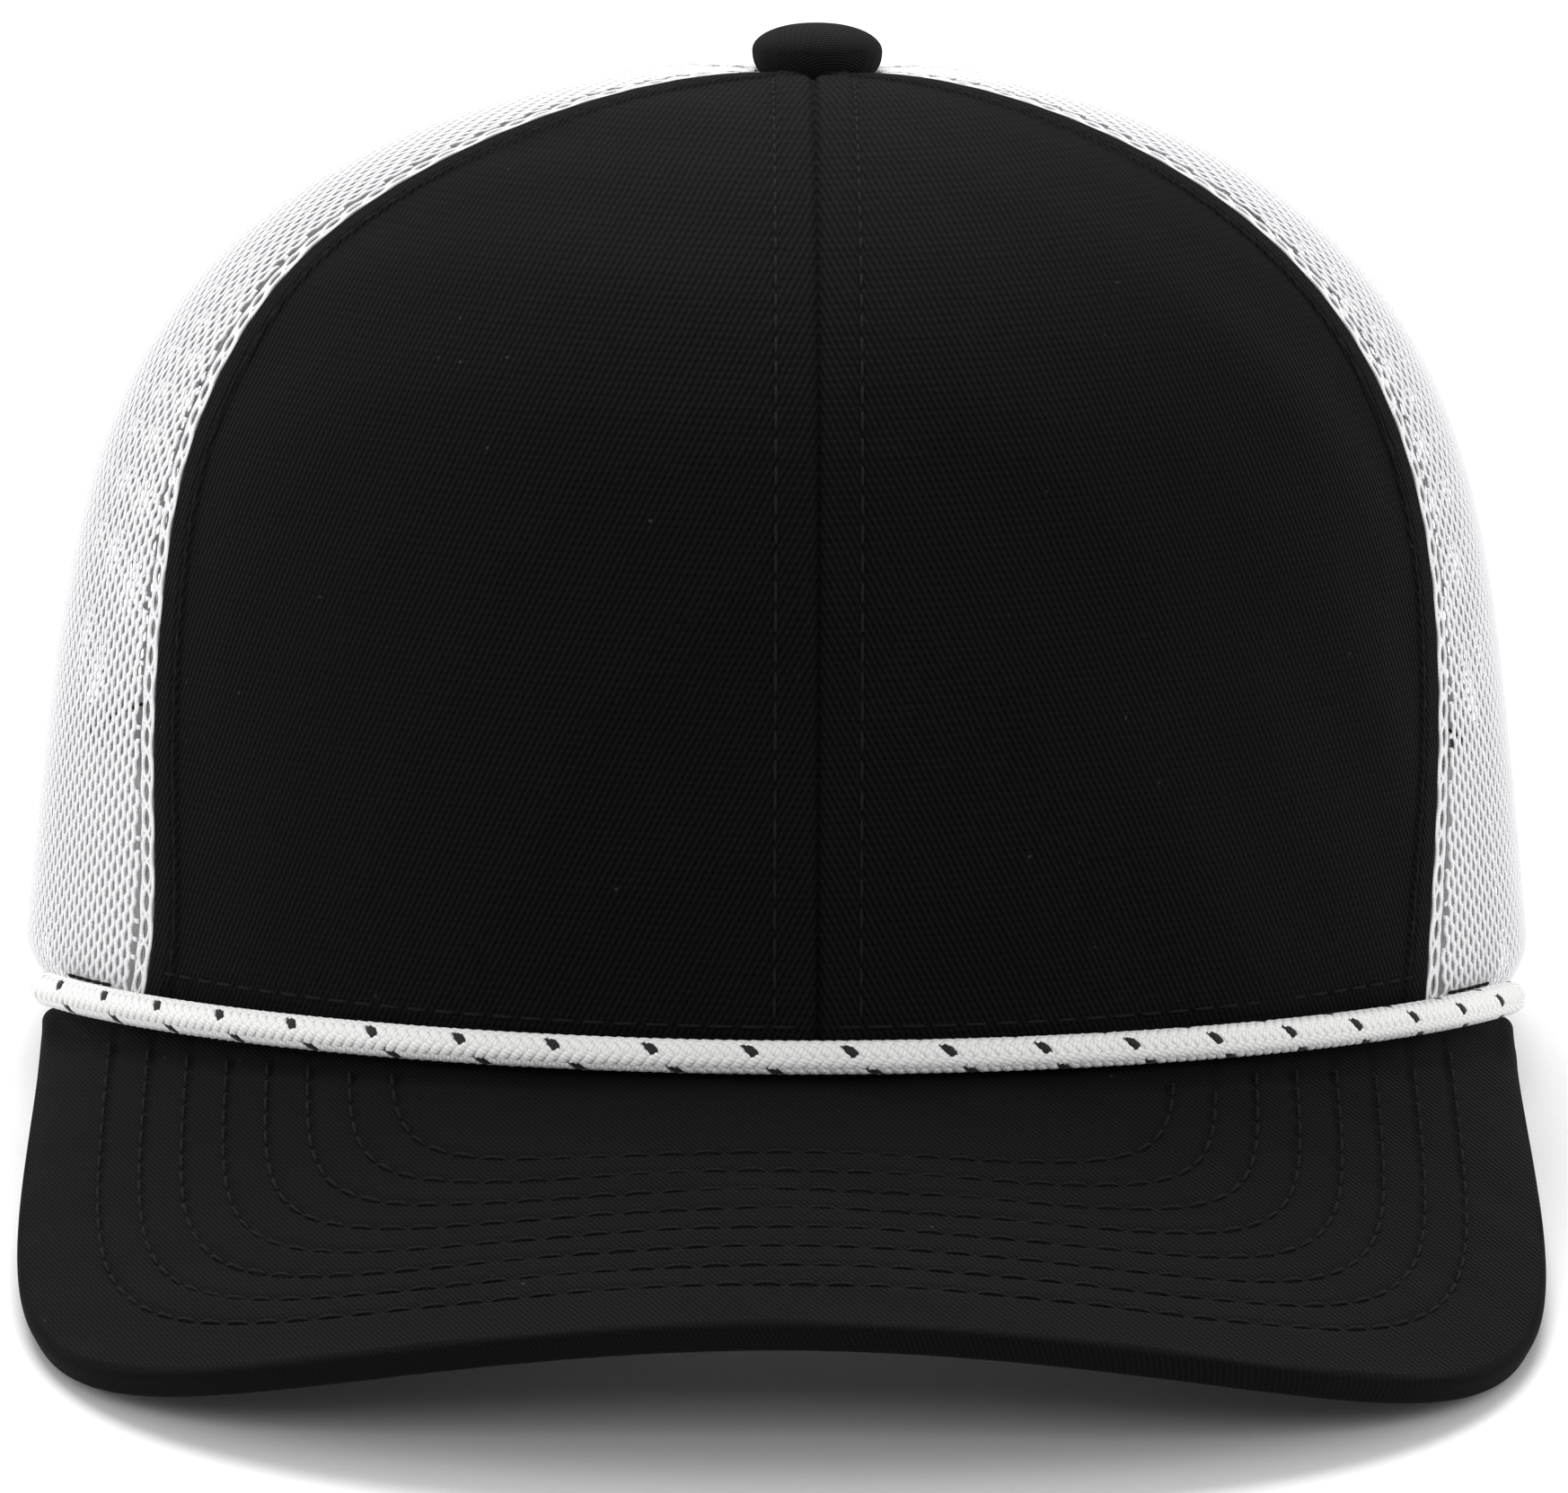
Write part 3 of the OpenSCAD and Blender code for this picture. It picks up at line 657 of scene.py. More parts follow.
def front_panel(side):
    s, climbed = panel_rows(30, 0, PANEL_TOP, 0.75)
    shares = np.concatenate([np.arange(0, 7, 0.28), np.arange(7, 79, 1.4), np.linspace(79.6, 88, 32)])
    shares = shares / shares[-1]
    first = np.full(len(s), side * CROWN_TWIST)
    u, d0, d1 = placed_across(s, first, side_seam(s, side), shares)
    p = on_crown(u, s[:, None], side)
    out = panel_surface(d0, d1, climbed[:, None], p * [side, 1, 1])
    outer = crown_point(u, s[:, None], out, side)
    inner = crown_point(u, s[:, None], -TWILL_THICK, side)
    uv = np.stack([d0, WEAVE_CLIMB * climbed[:, None] + WEAVE_HEIGHT * outer[..., 2]], -1)
    word = WORDS[side]
    v, q, coords = shell_mesh(outer, inner, uv)
    piece(f"front_panel_{word}_twill", v, q, [front_twill], side, coords,
          replaces=[f"front_panel_{word}"], slot="front_twill")
    back_rows = slice(2, None, 3)
    cut = (u[back_rows, ::3], s[back_rows, None])
    weave = paired(d0[back_rows, ::3], climbed[back_rows, None])
    depth = -TWILL_THICK - 0.1
    v, q, coords = shell_mesh(crown_point(*cut, depth, side),
                              crown_point(*cut, depth - BUCKRAM_THICK, side), weave)
    piece(f"front_stiffener_{word}_buckram", v, q, [buckram], side, coords,
          replaces=[f"front_stiffener_{word}"], slot="stiffener")


def line_on_crown(s, u, out, side=1):
    """Points and normals of a line drawn on the crown."""
    return crown_point(u, s, out, side), crown_normal(u, s, side)


def shifted(u, s, d):
    """The angle d mm further round the crown."""
    return u + span_angle(d, s, u)


def front_stitches(side):
    s = np.linspace(0.055, 0.955, 220)
    seam = np.full(len(s), side * CROWN_TWIST)
    rows = [(shifted(seam, s, SEAM_ROW), -0.02), (shifted(side_seam(s, side), s, -EDGE_ROW), 0.06)]
    parts = []
    for u, out in rows:
        parts += stitch_row(*line_on_crown(s, u, out, side), pitch=3.3, length=2.5, radius=0.2)
    u = np.linspace(side * CROWN_TWIST + 1.2, side_seam(0.05, side) - 0.6, 160)
    low = s_at(6.5 + 0.3 * (u / 60) ** 2 - 3 * (1 - np.cos(np.radians(u))) ** 2)
    parts += stitch_row(*line_on_crown(low, u, 0.03, side), pitch=3.6, length=2.7, radius=0.2)
    joined_piece(f"front_stitches_{WORDS[side]}", parts, [black_thread], side, slot="thread")


for side in (1, -1):
    front_panel(side)
    front_stitches(side)


# ---------------------------------------------------------------- open mesh
COLUMN_PITCH, HOLE_PITCH = 1.56, 2.1
STRAND_SWAY, STRAND_HALF, STRAND_DEEP, MESH_OUT = 0.27, 0.66, 0.16, 0.1
SAMPLES_PER_HOLE = 4
HEM_TUCK, HEM_ROLL = 1.7, 4.0
EYE_PITCH, EYE_HALF = 6.2, 0.85
# The strands of the eyes: mm from the seam, half of the sway, its phase, half width, mm out
PICOT_STRANDS = ((0.42, 0.16, 0.8, 0.34, 0.1), (3.3, 0.06, 0.0, 0.42, -0.3),
                 (1.75, EYE_HALF, 0.0, 0.26, 0.0), (1.75, EYE_HALF, np.pi, 0.26, 0.0))


def hem_tuck(climbed):
    """How far the mesh's foot is drawn in by the hem."""
    return -HEM_TUCK * np.maximum(0, 1 - climbed / HEM_ROLL) ** 2


def arch_height(u, grow):
    """Height of the rear opening's edge at u, when the opening is grow mm larger all round."""
    away = np.abs(180 - u) / (opening_angle + span_angle(grow, 0.0, 155.0))
    return (OPENING_HEIGHT + grow) * np.sqrt(np.maximum(0, 1 - np.minimum(1, away) ** 2))


def mesh_panel(side, u_middle, u_from, u_to, is_rear):
    """Knitted columns that sway from one neighbour to the next and leave a hole between."""
    run = climb(u_middle)
    step = HOLE_PITCH / SAMPLES_PER_HOLE
    climbed = np.arange(0.15, np.interp(PANEL_TOP, S_FINE, run), step)
    s = np.interp(climbed, run, S_FINE)
    table = girth(s)
    middle = np.array([np.interp(u_middle, U_FINE, row) for row in table])
    columns = np.arange(-46, 47)
    phase = 2 * np.pi * climbed / HOLE_PITCH
    sway = STRAND_SWAY * np.clip(1.35 * np.cos(phase), -1, 1)
    sign = np.where(columns % 2 == 0, 1, -1)
    d = columns[None, :] * COLUMN_PITCH + sway[:, None] * sign[None, :]
    half = STRAND_HALF + 0.05 * np.cos(phase * 2)[:, None] + 0 * d
    out = MESH_OUT + (0.05 * np.cos(phase * 2) + hem_tuck(climbed))[:, None] + 0 * d

    def angles(across):
        return np.stack([np.interp(middle[k] + d[k] + across[k], table[k], U_FINE) for k in range(len(s))])

    u = angles(0 * half)
    corners = [crown_point(at, s[:, None], out + up, side)
               for at, up in ((angles(half), 0), (u, STRAND_DEEP), (angles(-half), 0), (u, -STRAND_DEEP))]
    gap = span_angle(0.75, s, u_middle)[:, None]
    start = span_angle(0.75 if is_rear else 3.9, s, u_middle)[:, None]
    inside = (u > u_from(s)[:, None] + start) & (u < u_to(s)[:, None] - gap)
    if is_rear:
        height = on_crown(u, s[:, None])[..., 2]
        inside &= height > arch_height(u, BINDING_WIDTH - 1.5)
    n, m = d.shape
    v = np.stack(corners, 2).reshape(-1, 3)
    number = (np.arange(n)[:, None] * m + np.arange(m)[None, :]) * 4
    both = inside[:-1] & inside[1:]
    low, high = number[:-1][both], number[1:][both]
    quads = [np.stack([low + k, low + (k + 1) % 4, high + (k + 1) % 4, high + k], 1) for k in range(4)]
    begins, ends = both.copy(), both.copy()
    begins[1:] &= ~both[:-1]
    ends[:-1] &= ~both[1:]
    first, last = number[:-1][begins], number[1:][ends]
    quads.append(np.stack([first + 3, first + 2, first + 1, first], 1))
    quads.append(np.stack([last, last + 1, last + 2, last + 3], 1))
    turn = np.array([0, 1.57, 3.14, 4.71])
    uv = paired(turn[None, None, :], climbed[:, None, None] + 0 * d[..., None])
    return v, np.concatenate(quads), uv.reshape(-1, 2), 0


def picot(line, side, s_low, s_high, towards):
    """The chain of small eyes that the mesh's edge makes along a seam."""
    s, climbed = panel_rows(60, s_low, s_high, 0.42)
    seam = line(s)
    parts = []
    for place, sway, phase, wide, up in PICOT_STRANDS:
        swing = np.sin(climbed * 2 * np.pi / EYE_PITCH + phase)
        u = shifted(seam, s, towards * (place + sway * np.sign(swing) * np.abs(swing) ** 0.6))
        centres, normals = line_on_crown(s, u, up + 0.05 * swing + hem_tuck(climbed), side)
        parts.append(tube(centres, *path_frames(centres, normals), wide, 0.24, 6))
    return parts


def turned_edge(side):
    """The edge of the black twill that lies under the mesh, past the seam."""
    s, climbed = panel_rows(60, 0.01, PANEL_TOP - 0.01, 2.0)
    seam = side_seam(s, side)[:, None]
    across = np.linspace(-2.0, 2.7, 6)[None, :]
    u = seam + across * span_angle(1.0, s[:, None], seam)
    v, q, coords = shell_mesh(crown_point(u, s[:, None], -1.45, side),
                              crown_point(u, s[:, None], -1.8, side), paired(across, climbed[:, None]))
    piece(f"turned_edge_{WORDS[side]}", v, q, [front_twill], side, coords, slot="front_twill")


def ridge(line, side, s_low, s_high, half, out):
    """The doubled mesh of a seam between two mesh panels."""
    s, climbed = panel_rows(100, s_low, s_high, 0.6)
    centres, normals = line_on_crown(s, line(s), out + 0.04 * np.sin(climbed * 3), side)
    return tube(centres, *path_frames(centres, normals), half + 0.06 * np.sin(climbed * 2.2), 0.22, 8)


def white_rows(line, side, s_low, s_high, offsets):
    parts = []
    s = np.linspace(s_low, s_high, 240)
    for d in offsets:
        parts += stitch_row(*line_on_crown(s, shifted(line(s), s, d), 0.1, side),
                            pitch=3.4, length=2.6, radius=0.22)
    return parts


def constant(angle):
    return lambda s: np.full(np.shape(s), float(angle))


for side in (1, -1):
    word = WORDS[side]
    seam = lambda s, side=side: side_seam(s, side)
    rear = constant(REAR_SEAM)
    back = constant(180)
    parts = [mesh_panel(side, 88, seam, rear, False)] + picot(seam, side, 0.02, PANEL_TOP - 0.01, 1)
    joined_piece(f"mesh_side_{word}_knit", parts, [white_knit], side,
                 replaces=[f"mesh_side_{word}"], slot="mesh")
    turned_edge(side)
    joined_piece(f"mesh_rear_{word}_knit", [mesh_panel(side, 149, rear, back, True)], [white_knit], side,
                 replaces=[f"mesh_rear_{word}"], slot="mesh")
    parts = [ridge(rear, side, 0.01, PANEL_TOP - 0.01, 1.5, -0.12)]
    parts += white_rows(rear, side, 0.01, 0.95, (-1.9, 1.9))
    joined_piece(f"rear_seam_{word}_stitching", parts, [white_thread], side, slot="thread")

back_low = float(s_at(arch_height(180.0, BINDING_WIDTH - 1)))
parts = [ridge(constant(180), 1, back_low, PANEL_TOP - 0.01, 1.5, -0.12)]
parts += white_rows(constant(180), 1, back_low, 0.95, (-1.9, 1.9))
joined_piece("back_seam_stitching", parts, [white_thread], slot="thread")


# ---------------------------------------------------------------- tapes over the seams
def seam_tape(name, line, s_low, side=1):
    s, climbed = panel_rows(60, s_low, 0.935, 1.5)
    across = np.linspace(-0.5, 0.5, 9)
    centre = line(s)[:, None]
    u = centre + across[None, :] * span_angle(TAPE_WIDTH, s[:, None], centre)
    crown = 0.12 * (1 - (2 * across[None, :]) ** 2) + 0.05 * np.sin(climbed[:, None] * 1.7)
    outer = crown_point(u, s[:, None], -TAPE_DEPTH, side)
    inner = crown_point(u, s[:, None], -TAPE_DEPTH - TAPE_THICK - crown, side)
    uv = paired(across[None, :] * TAPE_WIDTH, climbed[:, None])
    parts = [(*shell_mesh(outer, inner, uv), 0)]
    for d in (-TAPE_WIDTH / 2 + 1.3, TAPE_WIDTH / 2 - 1.3):
        row_s = np.linspace(s_low + 0.01, 0.925, 200)
        p, n = line_on_crown(row_s, shifted(line(row_s), row_s, d), -TAPE_DEPTH - TAPE_THICK - 0.06, side)
        parts += stitch_row(p, -n, pitch=3.4, length=2.5, radius=0.2, kind=1)
    joined_piece(name + "_cloth", parts, [white_tape, white_thread], side, replaces=[name], slot="tape")


tape_foot = float(s_at(1.5))
seam_tape("seam_tape_front", constant(CROWN_TWIST), tape_foot)
seam_tape("seam_tape_back", constant(180), float(s_at(OPENING_HEIGHT + BINDING_WIDTH + 1)))
for side, word in WORDS.items():
    seam_tape(f"seam_tape_side_{word}", lambda s, side=side: side_seam(s, side), tape_foot, side)
    seam_tape(f"seam_tape_rear_{word}", constant(REAR_SEAM), tape_foot, side)


# ---------------------------------------------------------------- sweatband and label
def band_strip(u, heights, outer_depth, inner_depth, ripple):
    s = s_at(heights)
    grid_u, grid_s = np.meshgrid(u, s, indexing="ij")
    run = np.radians(grid_u) * CROWN_WIDTH / 2
    wave_in = ripple * (np.sin(run * 0.9) + 0.6 * np.sin(run * 0.37 + 1)) * np.linspace(0.3, 1, len(s))
    outer = crown_point(grid_u, grid_s, -outer_depth)
    inner = crown_point(grid_u, grid_s, -inner_depth - wave_in)
    return shell_mesh(outer, inner, paired(run, heights[None, :])), grid_u.shape


heights = np.concatenate([[1.0, 1.4], np.linspace(2.2, BAND_HEIGHT - 1, 22),
                          [BAND_HEIGHT - 0.4, BAND_HEIGHT]])
shell, (n, m) = band_strip(np.linspace(-BAND_END, BAND_END, 420), heights,
                                BAND_DEPTH, BAND_DEPTH + BAND_THICK - 0.15, 0.08)
parts = [(*shell, 0)]
u = np.linspace(-BAND_END + 0.6, BAND_END - 0.6, 700)
for height in (2.6, BAND_HEIGHT - 2.2):
    p, normals = line_on_crown(np.full(700, float(s_at(height))), u, -BAND_DEPTH - BAND_THICK + 0.06)
    parts += stitch_row(p, -normals, pitch=3.6, length=2.7, radius=0.2, kind=2)
v, q, uv, kinds = joined(parts)
kinds[:(n - 1) * (m - 1)] = 1  # the side against the crown is tape
piece("sweatband_cloth", v, q, [band_twill, white_tape, black_thread], 1, uv, kinds,
      replaces=["sweatband"], slot="sweatband_cloth")

label_half = float(span_angle(LABEL_WIDTH, 0.0, LABEL_ANGLE)) / 2
u = np.linspace(LABEL_ANGLE - label_half, LABEL_ANGLE + label_half, 40)
label_depth = BAND_DEPTH + BAND_THICK + 0.3
shell, _ = band_strip(u, np.linspace(5, BAND_HEIGHT - 3, 18), label_depth, label_depth + 0.35, 0.05)
parts = [(*shell, 0)]
for height in (6.0, BAND_HEIGHT - 4.4):
    p, normals = line_on_crown(np.full(60, float(s_at(height))), np.linspace(u[0] + 0.8, u[-1] - 0.8, 60),
                               -label_depth - 0.4)
    parts += stitch_row(p, -normals, pitch=2.6, length=1.9, radius=0.15, kind=1)
joined_piece("care_label_cloth", parts, [label_satin, white_thread], replaces=["care_label"], slot="label")


# ---------------------------------------------------------------- button
BUTTON_SHIFT, BUTTON_DEEPER = 0.5, 1.34
TUCKED_POWER, DOME_POWER = 0.62, 0.92


def button():
    """Cloth drawn over a dome and tucked under its edge."""
    rise_angle = np.concatenate([np.linspace(-44, 20, 26), np.linspace(24, 89.5, 24)])
    turn = np.arange(0, 360, 3.0)
    a, b = np.meshgrid(np.radians(rise_angle), np.radians(turn), indexing="ij")
    half_height = BUTTON_HEIGHT * 0.58
    low = soft_step(-np.degrees(a), -25, 40)
    tuck = 0.10 * low * (np.sin(9 * b + 0.6) + 0.7 * np.sin(17 * b + 2) + 0.5 * np.sin(29 * b + 4))
    radius = (BUTTON_RADIUS + tuck - 0.05) * np.cos(a) ** np.where(a < 0, TUCKED_POWER, DOME_POWER)
    z = BUTTON_SEAT + BUTTON_HEIGHT * 0.42 + half_height * np.sin(a) * np.where(a < 0, BUTTON_DEEPER, 1)
    middle = CROWN_DRIFT + BUTTON_SHIFT
    p = np.stack([middle + radius * np.cos(b), radius * np.sin(b), z], -1)
    n, m = a.shape
    cut = (BUTTON_RADIUS * (np.pi / 2 - a))[..., None] * np.stack([np.cos(b), np.sin(b)], -1)
    ends = [[middle, 0, BUTTON_SEAT + BUTTON_HEIGHT], [middle, 0, z[0, 0] + 0.25]]
    v = np.concatenate([p.reshape(-1, 3), ends])
    k = np.arange(m)
    peak = np.stack([(n - 1) * m + k, (n - 1) * m + (k + 1) % m, np.full(m, n * m), np.full(m, n * m)], 1)
    under = np.stack([(k + 1) % m, k, np.full(m, n * m + 1), np.full(m, n * m + 1)], 1)
    uv = np.concatenate([cut.reshape(-1, 2), [[0, 0], [0, 0]]])
    return v, np.concatenate([grid_quads(n, m, wrap=True), peak, under]), uv


v, q, uv = button()
piece("button_cloth", v, q, [button_twill], 1, uv, replaces=["button_cover"], slot="button_cloth")


# ---------------------------------------------------------------- visor
STITCH_ROWS = 8
ROW_SIDE_FIRST, ROW_SIDE_PITCH = 76.1, 4.65
ROW_FRONT_FIRST, ROW_FRONT_PITCH = 154.6, 4.87
ROW_POWER_FIRST, ROW_POWER_STEP = 6.6, 0.6
HALF_VISOR = VISOR_THICK / 2
RIM, FOOT = 1.05, 0.9
COVER_ROWS, CLOTH_PULL = 400, 2.4


def stitch_number(p):
    """Which row of visor stitching a point is on, counted from the outside, as a real number."""
    f = np.maximum(-p[..., 1] - OUTLINE_CENTRE, 0)
    x = np.abs(p[..., 0])
    low, high = np.full(x.shape, -3.0), np.full(x.shape, 14.0)
    for _ in range(26):
        k = (low + high) / 2
        a = ROW_SIDE_FIRST - ROW_SIDE_PITCH * k
        b = ROW_FRONT_FIRST - ROW_FRONT_PITCH * k - OUTLINE_CENTRE
        power = ROW_POWER_FIRST + ROW_POWER_STEP * np.maximum(k, -2)
        inside = (x / a) ** SIDE_POWER + (f / b) ** power < 1
        low, high = np.where(inside, k, low), np.where(inside, high, k)
    return (low + high) / 2


def quilting(p):
    """The groove that each stitch row draws in the cover."""
    k = stitch_number(p)
    nearest = np.clip(np.round(k), 0, STITCH_ROWS - 1)
    return -0.24 * bell((k - nearest) * ROW_SIDE_PITCH, 0.6)


def visor_cover(face):
    """The top cover, which turns down over the edge, or the flat under cover (face -1)."""
    t = np.linspace(-0.995, 0.995, COVER_ROWS)
    shares = np.linspace(0, 1, 150)
    edge = on_visor(t, 1.0)
    normal = visor_normal(t, 1.0)
    along = unit(np.gradient(edge, axis=0))
    outward = np.cross(along, normal)
    outward *= np.sign(np.sum(outward * (edge - on_visor(t, 0.5)), axis=1))[:, None]
    start = edge - outward * RIM
    root = crown_point(ROOT_ANGLE * t, 0.0, 0.12)
    root[:, 2] = root_point(t)[:, 2]
    middle = root[:, None, :] + shares[None, :, None] * (start - root)[:, None, :]
    upright = 1 - soft_step(shares, 0.3, 1.0)[None, :, None]
    square = visor_normal(t[:, None], shares[None, :] * 0.98)
    normals = unit((1 - upright) * square + upright * np.array([0.0, 0, 1]))
    bump = quilting(middle) * soft_step(shares, 0.0, 0.06)[None, :]
    if face > 0:
        bump = bump + 0.10 * unevenness(middle * 1.6)
    outer = middle + (face * HALF_VISOR + face * bump)[..., None] * normals
    inner = middle + (face * (HALF_VISOR - 0.72)) * normals
    if face < 0:
        return (*shell_mesh(outer, inner, outer[..., :2].copy()), len(shares))
    turns = np.radians(np.linspace(12, 90, 8))
    down = np.linspace(HALF_VISOR - RIM, -HALF_VISOR + FOOT, 7)[1:]
    round_top = np.stack([RIM * np.sin(turns), HALF_VISOR - RIM + RIM * np.cos(turns)], 1)
    straight = np.stack([np.full(6, RIM), down], 1)
    under_turns = np.radians(np.linspace(15, 90, 6))
    round_foot = np.stack([RIM - FOOT + FOOT * np.cos(under_turns),
                           -HALF_VISOR + FOOT - FOOT * np.sin(under_turns)], 1)
    tail = np.array([[-0.6, -HALF_VISOR - 0.02]])
    profile = np.concatenate([round_top, straight, round_foot, tail])

    def rim(section):
        """A section's points, [outward, up], at each place along the edge."""
        across, up = section[None, :, 0, None], section[None, :, 1, None]
        return start[:, None, :] + across * outward[:, None, :] + up * normal[:, None, :]

    centre = np.array([-0.2, 0.0])
    thinner = 1 - 0.55 / np.maximum(0.6, np.linalg.norm(profile - centre, axis=1))
    outer = np.concatenate([outer, rim(profile)], axis=1)
    inner = np.concatenate([inner, rim(centre + (profile - centre) * thinner[:, None])], axis=1)
    lengths = run_along(profile)
    flat_uv = outer[:, : len(shares), :2].copy()
    drop = outer[:, : len(shares), 2] - outline_height(0, -flat_uv[..., 1])
    flat_uv[..., 1] += CLOTH_PULL * drop
    edge_uv = flat_uv[:, -1:, :] + outward[:, None, :2] * (0.4 + lengths[None, :, None])
    uv = np.concatenate([flat_uv, edge_uv], axis=1)
    return (*shell_mesh(outer, inner, uv), len(shares))


def rim_kinds(quads, rows, columns, flat):
    """1 for the quads that turn down over the edge, 0 for the rest."""
    number = np.arange(len(quads))
    column = number % (columns - 1)
    return np.where((number < 2 * (rows - 1) * (columns - 1)) & (column >= flat - 2), 1, 0)


v, q, uv, flat = visor_cover(1)
kinds = rim_kinds(q, COVER_ROWS, len(v) // 2 // COVER_ROWS, flat)
# The quads that turn down over the edge take the darker rim twill: painted shade.
piece("visor_top_twill", v, q, [visor_twill, rim_twill_painted_shade], 1, uv, kinds,
      replaces=["visor_top_cover", "visor_edge_seam"], slot="visor_twill")
v, q, uv, flat = visor_cover(-1)
piece("visor_under_twill", v, q, [visor_twill], 1, uv, replaces=["visor_under_cover"], slot="visor_twill")


CLEAR_HALF, CLEAR_AHEAD = 92.2, 102.2


def visor_rows(face):
    """The stitch rows on one face, where they are clear of the crown and the rope."""
    parts = []
    t = np.linspace(-0.985, 0.985, 900)
    for k in range(STITCH_ROWS):
        low, high = np.full(t.shape, 0.0), np.full(t.shape, 1.0)
        for _ in range(22):
            r = (low + high) / 2
            outside = stitch_number(on_visor(t, r)) < k
            low, high = np.where(outside, low, r), np.where(outside, r, high)
        r = (low + high) / 2
        p = on_visor(t, r)
        clear = (r > 0.03) & (r < 0.995) & (np.hypot(p[:, 0] / CLEAR_HALF, p[:, 1] / CLEAR_AHEAD) > 1)
        normals = visor_normal(t, r)
        places = np.flatnonzero(clear)
        for line in np.split(places, np.flatnonzero(np.diff(places) > 1) + 1):
            if len(line) > 8:
                surface = p[line] + face * (HALF_VISOR - 0.16) * normals[line]
                parts += stitch_row(surface, face * normals[line], pitch=4.0, length=3.1,
                                    radius=0.19, proud=0.14)
    return parts


for face, word in ((1, "top"), (-1, "under")):
    joined_piece(f"visor_{word}_stitches", visor_rows(face), [black_thread], slot="thread")


# ---------------------------------------------------------------- rope
BRAID_PITCH, STRANDS_EACH_WAY = 11.06, 8
BRAID_START, BRAID_SLACK, SLACK_LENGTH = 10.5, 0.30, 8.0
BRAID_DRIFT, DRIFT_LENGTH = 0.12, 170.0
BRAID_RADIUS, BRAID_WEAVE = 1.60, 0.12
STRAND_WIDE, STRAND_THICK = 0.58, 0.27
UPPER_FLOAT, ROPE_TWIST = math.radians(48), math.radians(-31)


def rope_path():
    """Lengths along the rope, its middle line there, and the directions outward and up."""
    u = np.linspace(-ROPE_END, ROPE_END, 1400)
    out = ROPE_RADIUS + ROPE_CLEAR
    p = crown_point(u, 0.0, out)
    p[:, 2] = root_point(u / ROOT_ANGLE)[:, 2] + HALF_VISOR + out
    run = run_along(p)
    at = np.arange(0, run[-1], 0.5)
    p = points_at(at, run, p)
    along = unit(np.gradient(p, axis=0))
    outward = unit(np.cross(along, np.array([0.0, 0, 1])))
    return at, p, outward, unit(np.cross(outward, along))


def rope():
    at, centre, outward, up = rope_path()
    near = np.minimum(at, at[-1] - at)
    end_scale = np.where(near < 2.2, 0.35 + 0.65 * np.sqrt(np.maximum(0, 1 - (1 - near / 2.2) ** 2)), 1)
    core = (BRAID_RADIUS - 0.12) * end_scale
    parts = [tube(centre, outward, up, core, core, 12)]
    turns = (at - BRAID_START) / BRAID_PITCH + BRAID_SLACK * np.exp(-at / SLACK_LENGTH)
    turns -= BRAID_DRIFT * np.sin(np.pi * at / DRIFT_LENGTH) + UPPER_FLOAT / (2 * np.pi)
    for direction in (1, -1):
        for k in range(STRANDS_EACH_WAY):
            angle = 2 * np.pi * (k / STRANDS_EACH_WAY - direction * turns)
            swing = direction * BRAID_WEAVE * np.cos(4 * (angle - UPPER_FLOAT))
            turned = angle + ROPE_TWIST * at / at[-1]
            radial = outward * np.cos(turned)[:, None] + up * np.sin(turned)[:, None]
            c = centre + radial * ((BRAID_RADIUS + swing) * end_scale)[:, None]
            is_tracer = int(direction == 1 and k == 0)
            parts.append(tube(c, *path_frames(c, radial), STRAND_WIDE * end_scale,
                              STRAND_THICK * end_scale, 6, is_tracer))
    return parts


joined_piece("rope_braid", rope(), [rope_yarn, tracer_yarn], replaces=["rope"], slot="rope_braid")


TACK_ANGLE, TACK_SPAN, TACK_ABOVE, TACK_OUT = 62.3, 3.8, 1.8, 0.42


def rope_tacks():
    """The black stitches over the rope's top edge, near each end."""
    parts = []
    for side in (1, -1):
        u = side * np.linspace(TACK_ANGLE - TACK_SPAN, TACK_ANGLE + TACK_SPAN, 50)
        p = crown_point(u, 0.0, TACK_OUT)
        top = root_point(u / ROOT_ANGLE)[:, 2] + HALF_VISOR + ROPE_RADIUS + ROPE_CLEAR
        p[:, 2] = top + TACK_ABOVE
        parts += stitch_row(p, crown_normal(u, 0.0), pitch=2.6, length=2.2, radius=0.22, proud=0.1)
    return parts


joined_piece("rope_tack_thread", rope_tacks(), [black_thread], replaces=["rope_end_tacks"], slot="thread")


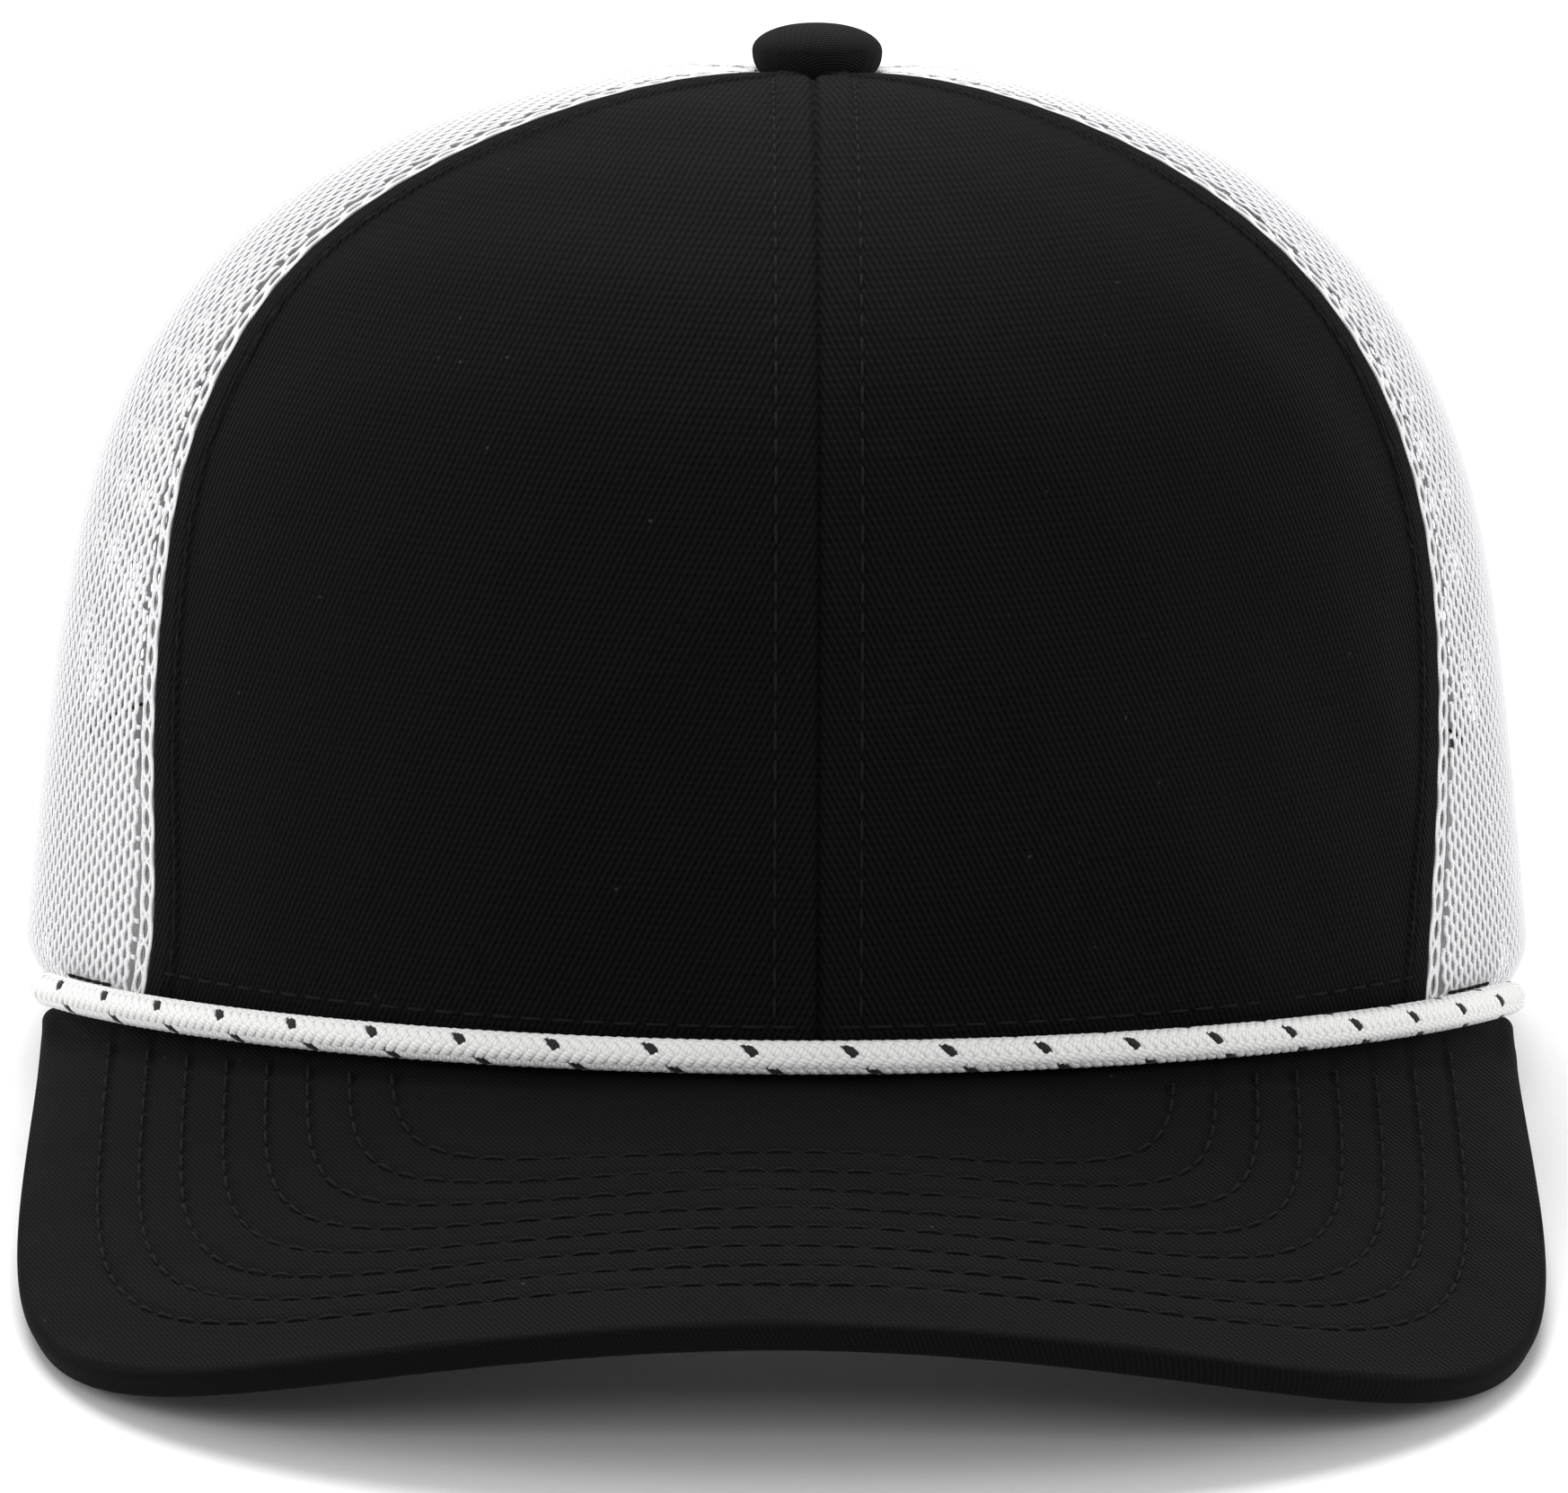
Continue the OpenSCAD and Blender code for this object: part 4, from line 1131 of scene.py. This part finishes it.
# ---------------------------------------------------------------- binding of the rear opening
def binding():
    """Folded tape round the arch of the rear opening, with its two rows of stitches."""
    a = np.radians(np.linspace(0, 180, 260))
    ring = np.radians(np.linspace(0, 360, 25)[:-1])
    wide = opening_angle + span_angle(BINDING_WIDTH, 0.0, 155.0)
    share = 0.5 - 0.5 * np.cos(ring) * np.abs(np.cos(ring)) ** -0.45
    thick = np.sin(ring) * np.abs(np.sin(ring) + 1e-9) ** -0.55
    away = (opening_angle + share[None, :] * (wide - opening_angle)) * np.cos(a)[:, None]
    height = (OPENING_HEIGHT + share[None, :] * BINDING_WIDTH) * np.sin(a)[:, None]
    run = a[:, None] * 55.0
    pucker = 0.09 * np.sin(run * 2.0) * (1 - np.abs(2 * share - 1))[None, :]
    grooves = -0.22 * (bell((share - 0.78) * BINDING_WIDTH, 0.4))[None, :] * np.sign(thick)[None, :]
    out = -0.35 + 0.8 * thick[None, :] + (pucker + grooves) * np.abs(thick)[None, :]
    p = crown_point(180 - away, s_at(height), out)
    uv = paired(share[None, :] * BINDING_WIDTH, run)
    parts = [(p.reshape(-1, 3), tube_quads(len(a), len(ring), -1), uv.reshape(-1, 2), 0)]
    for share_in in (0.2, 0.78):
        line_away = (opening_angle + share_in * (wide - opening_angle)) * np.cos(a)
        line_s = s_at((OPENING_HEIGHT + share_in * BINDING_WIDTH) * np.sin(a))
        points, normals = line_on_crown(line_s[3:-3], (180 - line_away)[3:-3], 0.34)
        parts += stitch_row(points, normals, pitch=3.2, length=2.4, radius=0.2, kind=1)
    return parts


joined_piece("opening_binding_cloth", binding(), [white_twill, white_thread],
             replaces=["opening_binding"], slot="binding_twill")


# ---------------------------------------------------------------- living hinges of the straps
arc_radius = CROWN_WIDTH ** 2 / 4 / CROWN_BACK - 0.1
arc_centre = CROWN_BACK - arc_radius
outer_radius = arc_radius - MESH_THICK - 0.7
inner_radius = outer_radius - STRAP_THICK - STRAP_GAP


def strap_point(x, y, z):
    """A point of the upright strap frame, leaned forward with the straps."""
    x, y, z = np.broadcast_arrays(x, y, z)
    leaned_y = STRAP_PIVOT + (y - STRAP_PIVOT) * math.cos(STRAP_LEAN) - z * math.sin(STRAP_LEAN)
    return np.stack([x, leaned_y, (y - STRAP_PIVOT) * math.sin(STRAP_LEAN) + z * math.cos(STRAP_LEAN)], -1)


def strap_hinge(name, side, radius):
    """The strap's plastic where it bends: thinner than the strap, in one piece with both ends."""
    angle = np.radians(np.linspace(HINGE_ANGLE - 1.7, HINGE_ANGLE + 1.1, 29))
    thin = 0.16 + 0.40 * soft_step(np.abs(np.linspace(-1.7, 1.1, 29)), 0.25, 0.9)
    middle = radius - STRAP_THICK / 2
    heights = np.linspace(STRAP_BOTTOM + 0.35, STRAP_BOTTOM + STRAP_HEIGHT - 0.35, 12)

    def layer(sign):
        r = middle + sign * thin
        x = side * r * np.sin(angle)
        y = arc_centre + r * np.cos(angle)
        return strap_point(x[:, None], y[:, None], heights[None, :])

    v, q, _ = shell_mesh(layer(1), layer(-1))
    obj = piece(name, v, q, [strap_plastic], 1, ride=False, slot="strap_plastic")
    for a in (HINGE_ANGLE + 0.45, HINGE_ANGLE - 0.45):
        a = math.radians(a)
        place = strap_point(side * middle * math.sin(a), arc_centre + middle * math.cos(a),
                            STRAP_BOTTOM + STRAP_HEIGHT / 2)
    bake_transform(obj)


strap_hinge("hole_strap_bend", 1, outer_radius)
strap_hinge("peg_strap_bend", -1, inner_radius)


# ---------------------------------------------------------------- floor and light
def floor():
    mesh = bpy.data.meshes.new("floor")
    half = 3.0
    corners = [(-half, -half, 0), (half, -half, 0), (half, half, 0), (-half, half, 0)]
    mesh.from_pydata(corners, [], [(0, 1, 2, 3)])
    sh = Shader("floor_paper")
    grain = sh.noise(900, 3)
    colour = sh.mix(grain, (0.90, 0.90, 0.90), (0.94, 0.94, 0.94))
    mesh.materials.append(sh.finish(colour, sh.bump(grain, 0.00002), 0.9, Specular_IOR_Level=0.1))
    put_in_scene("floor", mesh)


def area_light(name, place, aim, size, power):
    data = bpy.data.lights.new(name, "AREA")
    data.shape, data.size, data.size_y = "RECTANGLE", size[0], size[1]
    data.energy = power
    obj = put_in_scene(name, data)
    obj.location = place
    obj.rotation_mode = "QUATERNION"
    obj.rotation_quaternion = (Vector(aim) - Vector(place)).to_track_quat("-Z", "Y")


floor()
world = bpy.data.worlds.new("studio")
world.use_nodes = True
world.node_tree.nodes["Background"].inputs["Color"].default_value = (1, 1, 1, 1)
world.node_tree.nodes["Background"].inputs["Strength"].default_value = 0.50
bpy.context.scene.world = world
area_light("key", (0.0, -1.6, 1.0), (0, -0.05, 0.03), (1.6, 0.6), 8)
area_light("top", (-0.15, 0.75, 1.45), (0, 0, 0.05), (1.2, 0.8), 26)
area_light("left_side", (1.5, -0.25, 0.55), (0, 0, 0.05), (0.9, 0.7), 6)
area_light("right_side", (-1.5, -0.25, 0.55), (0, 0, 0.05), (0.9, 0.7), 6)
bpy.context.scene.view_settings.view_transform = "Standard"
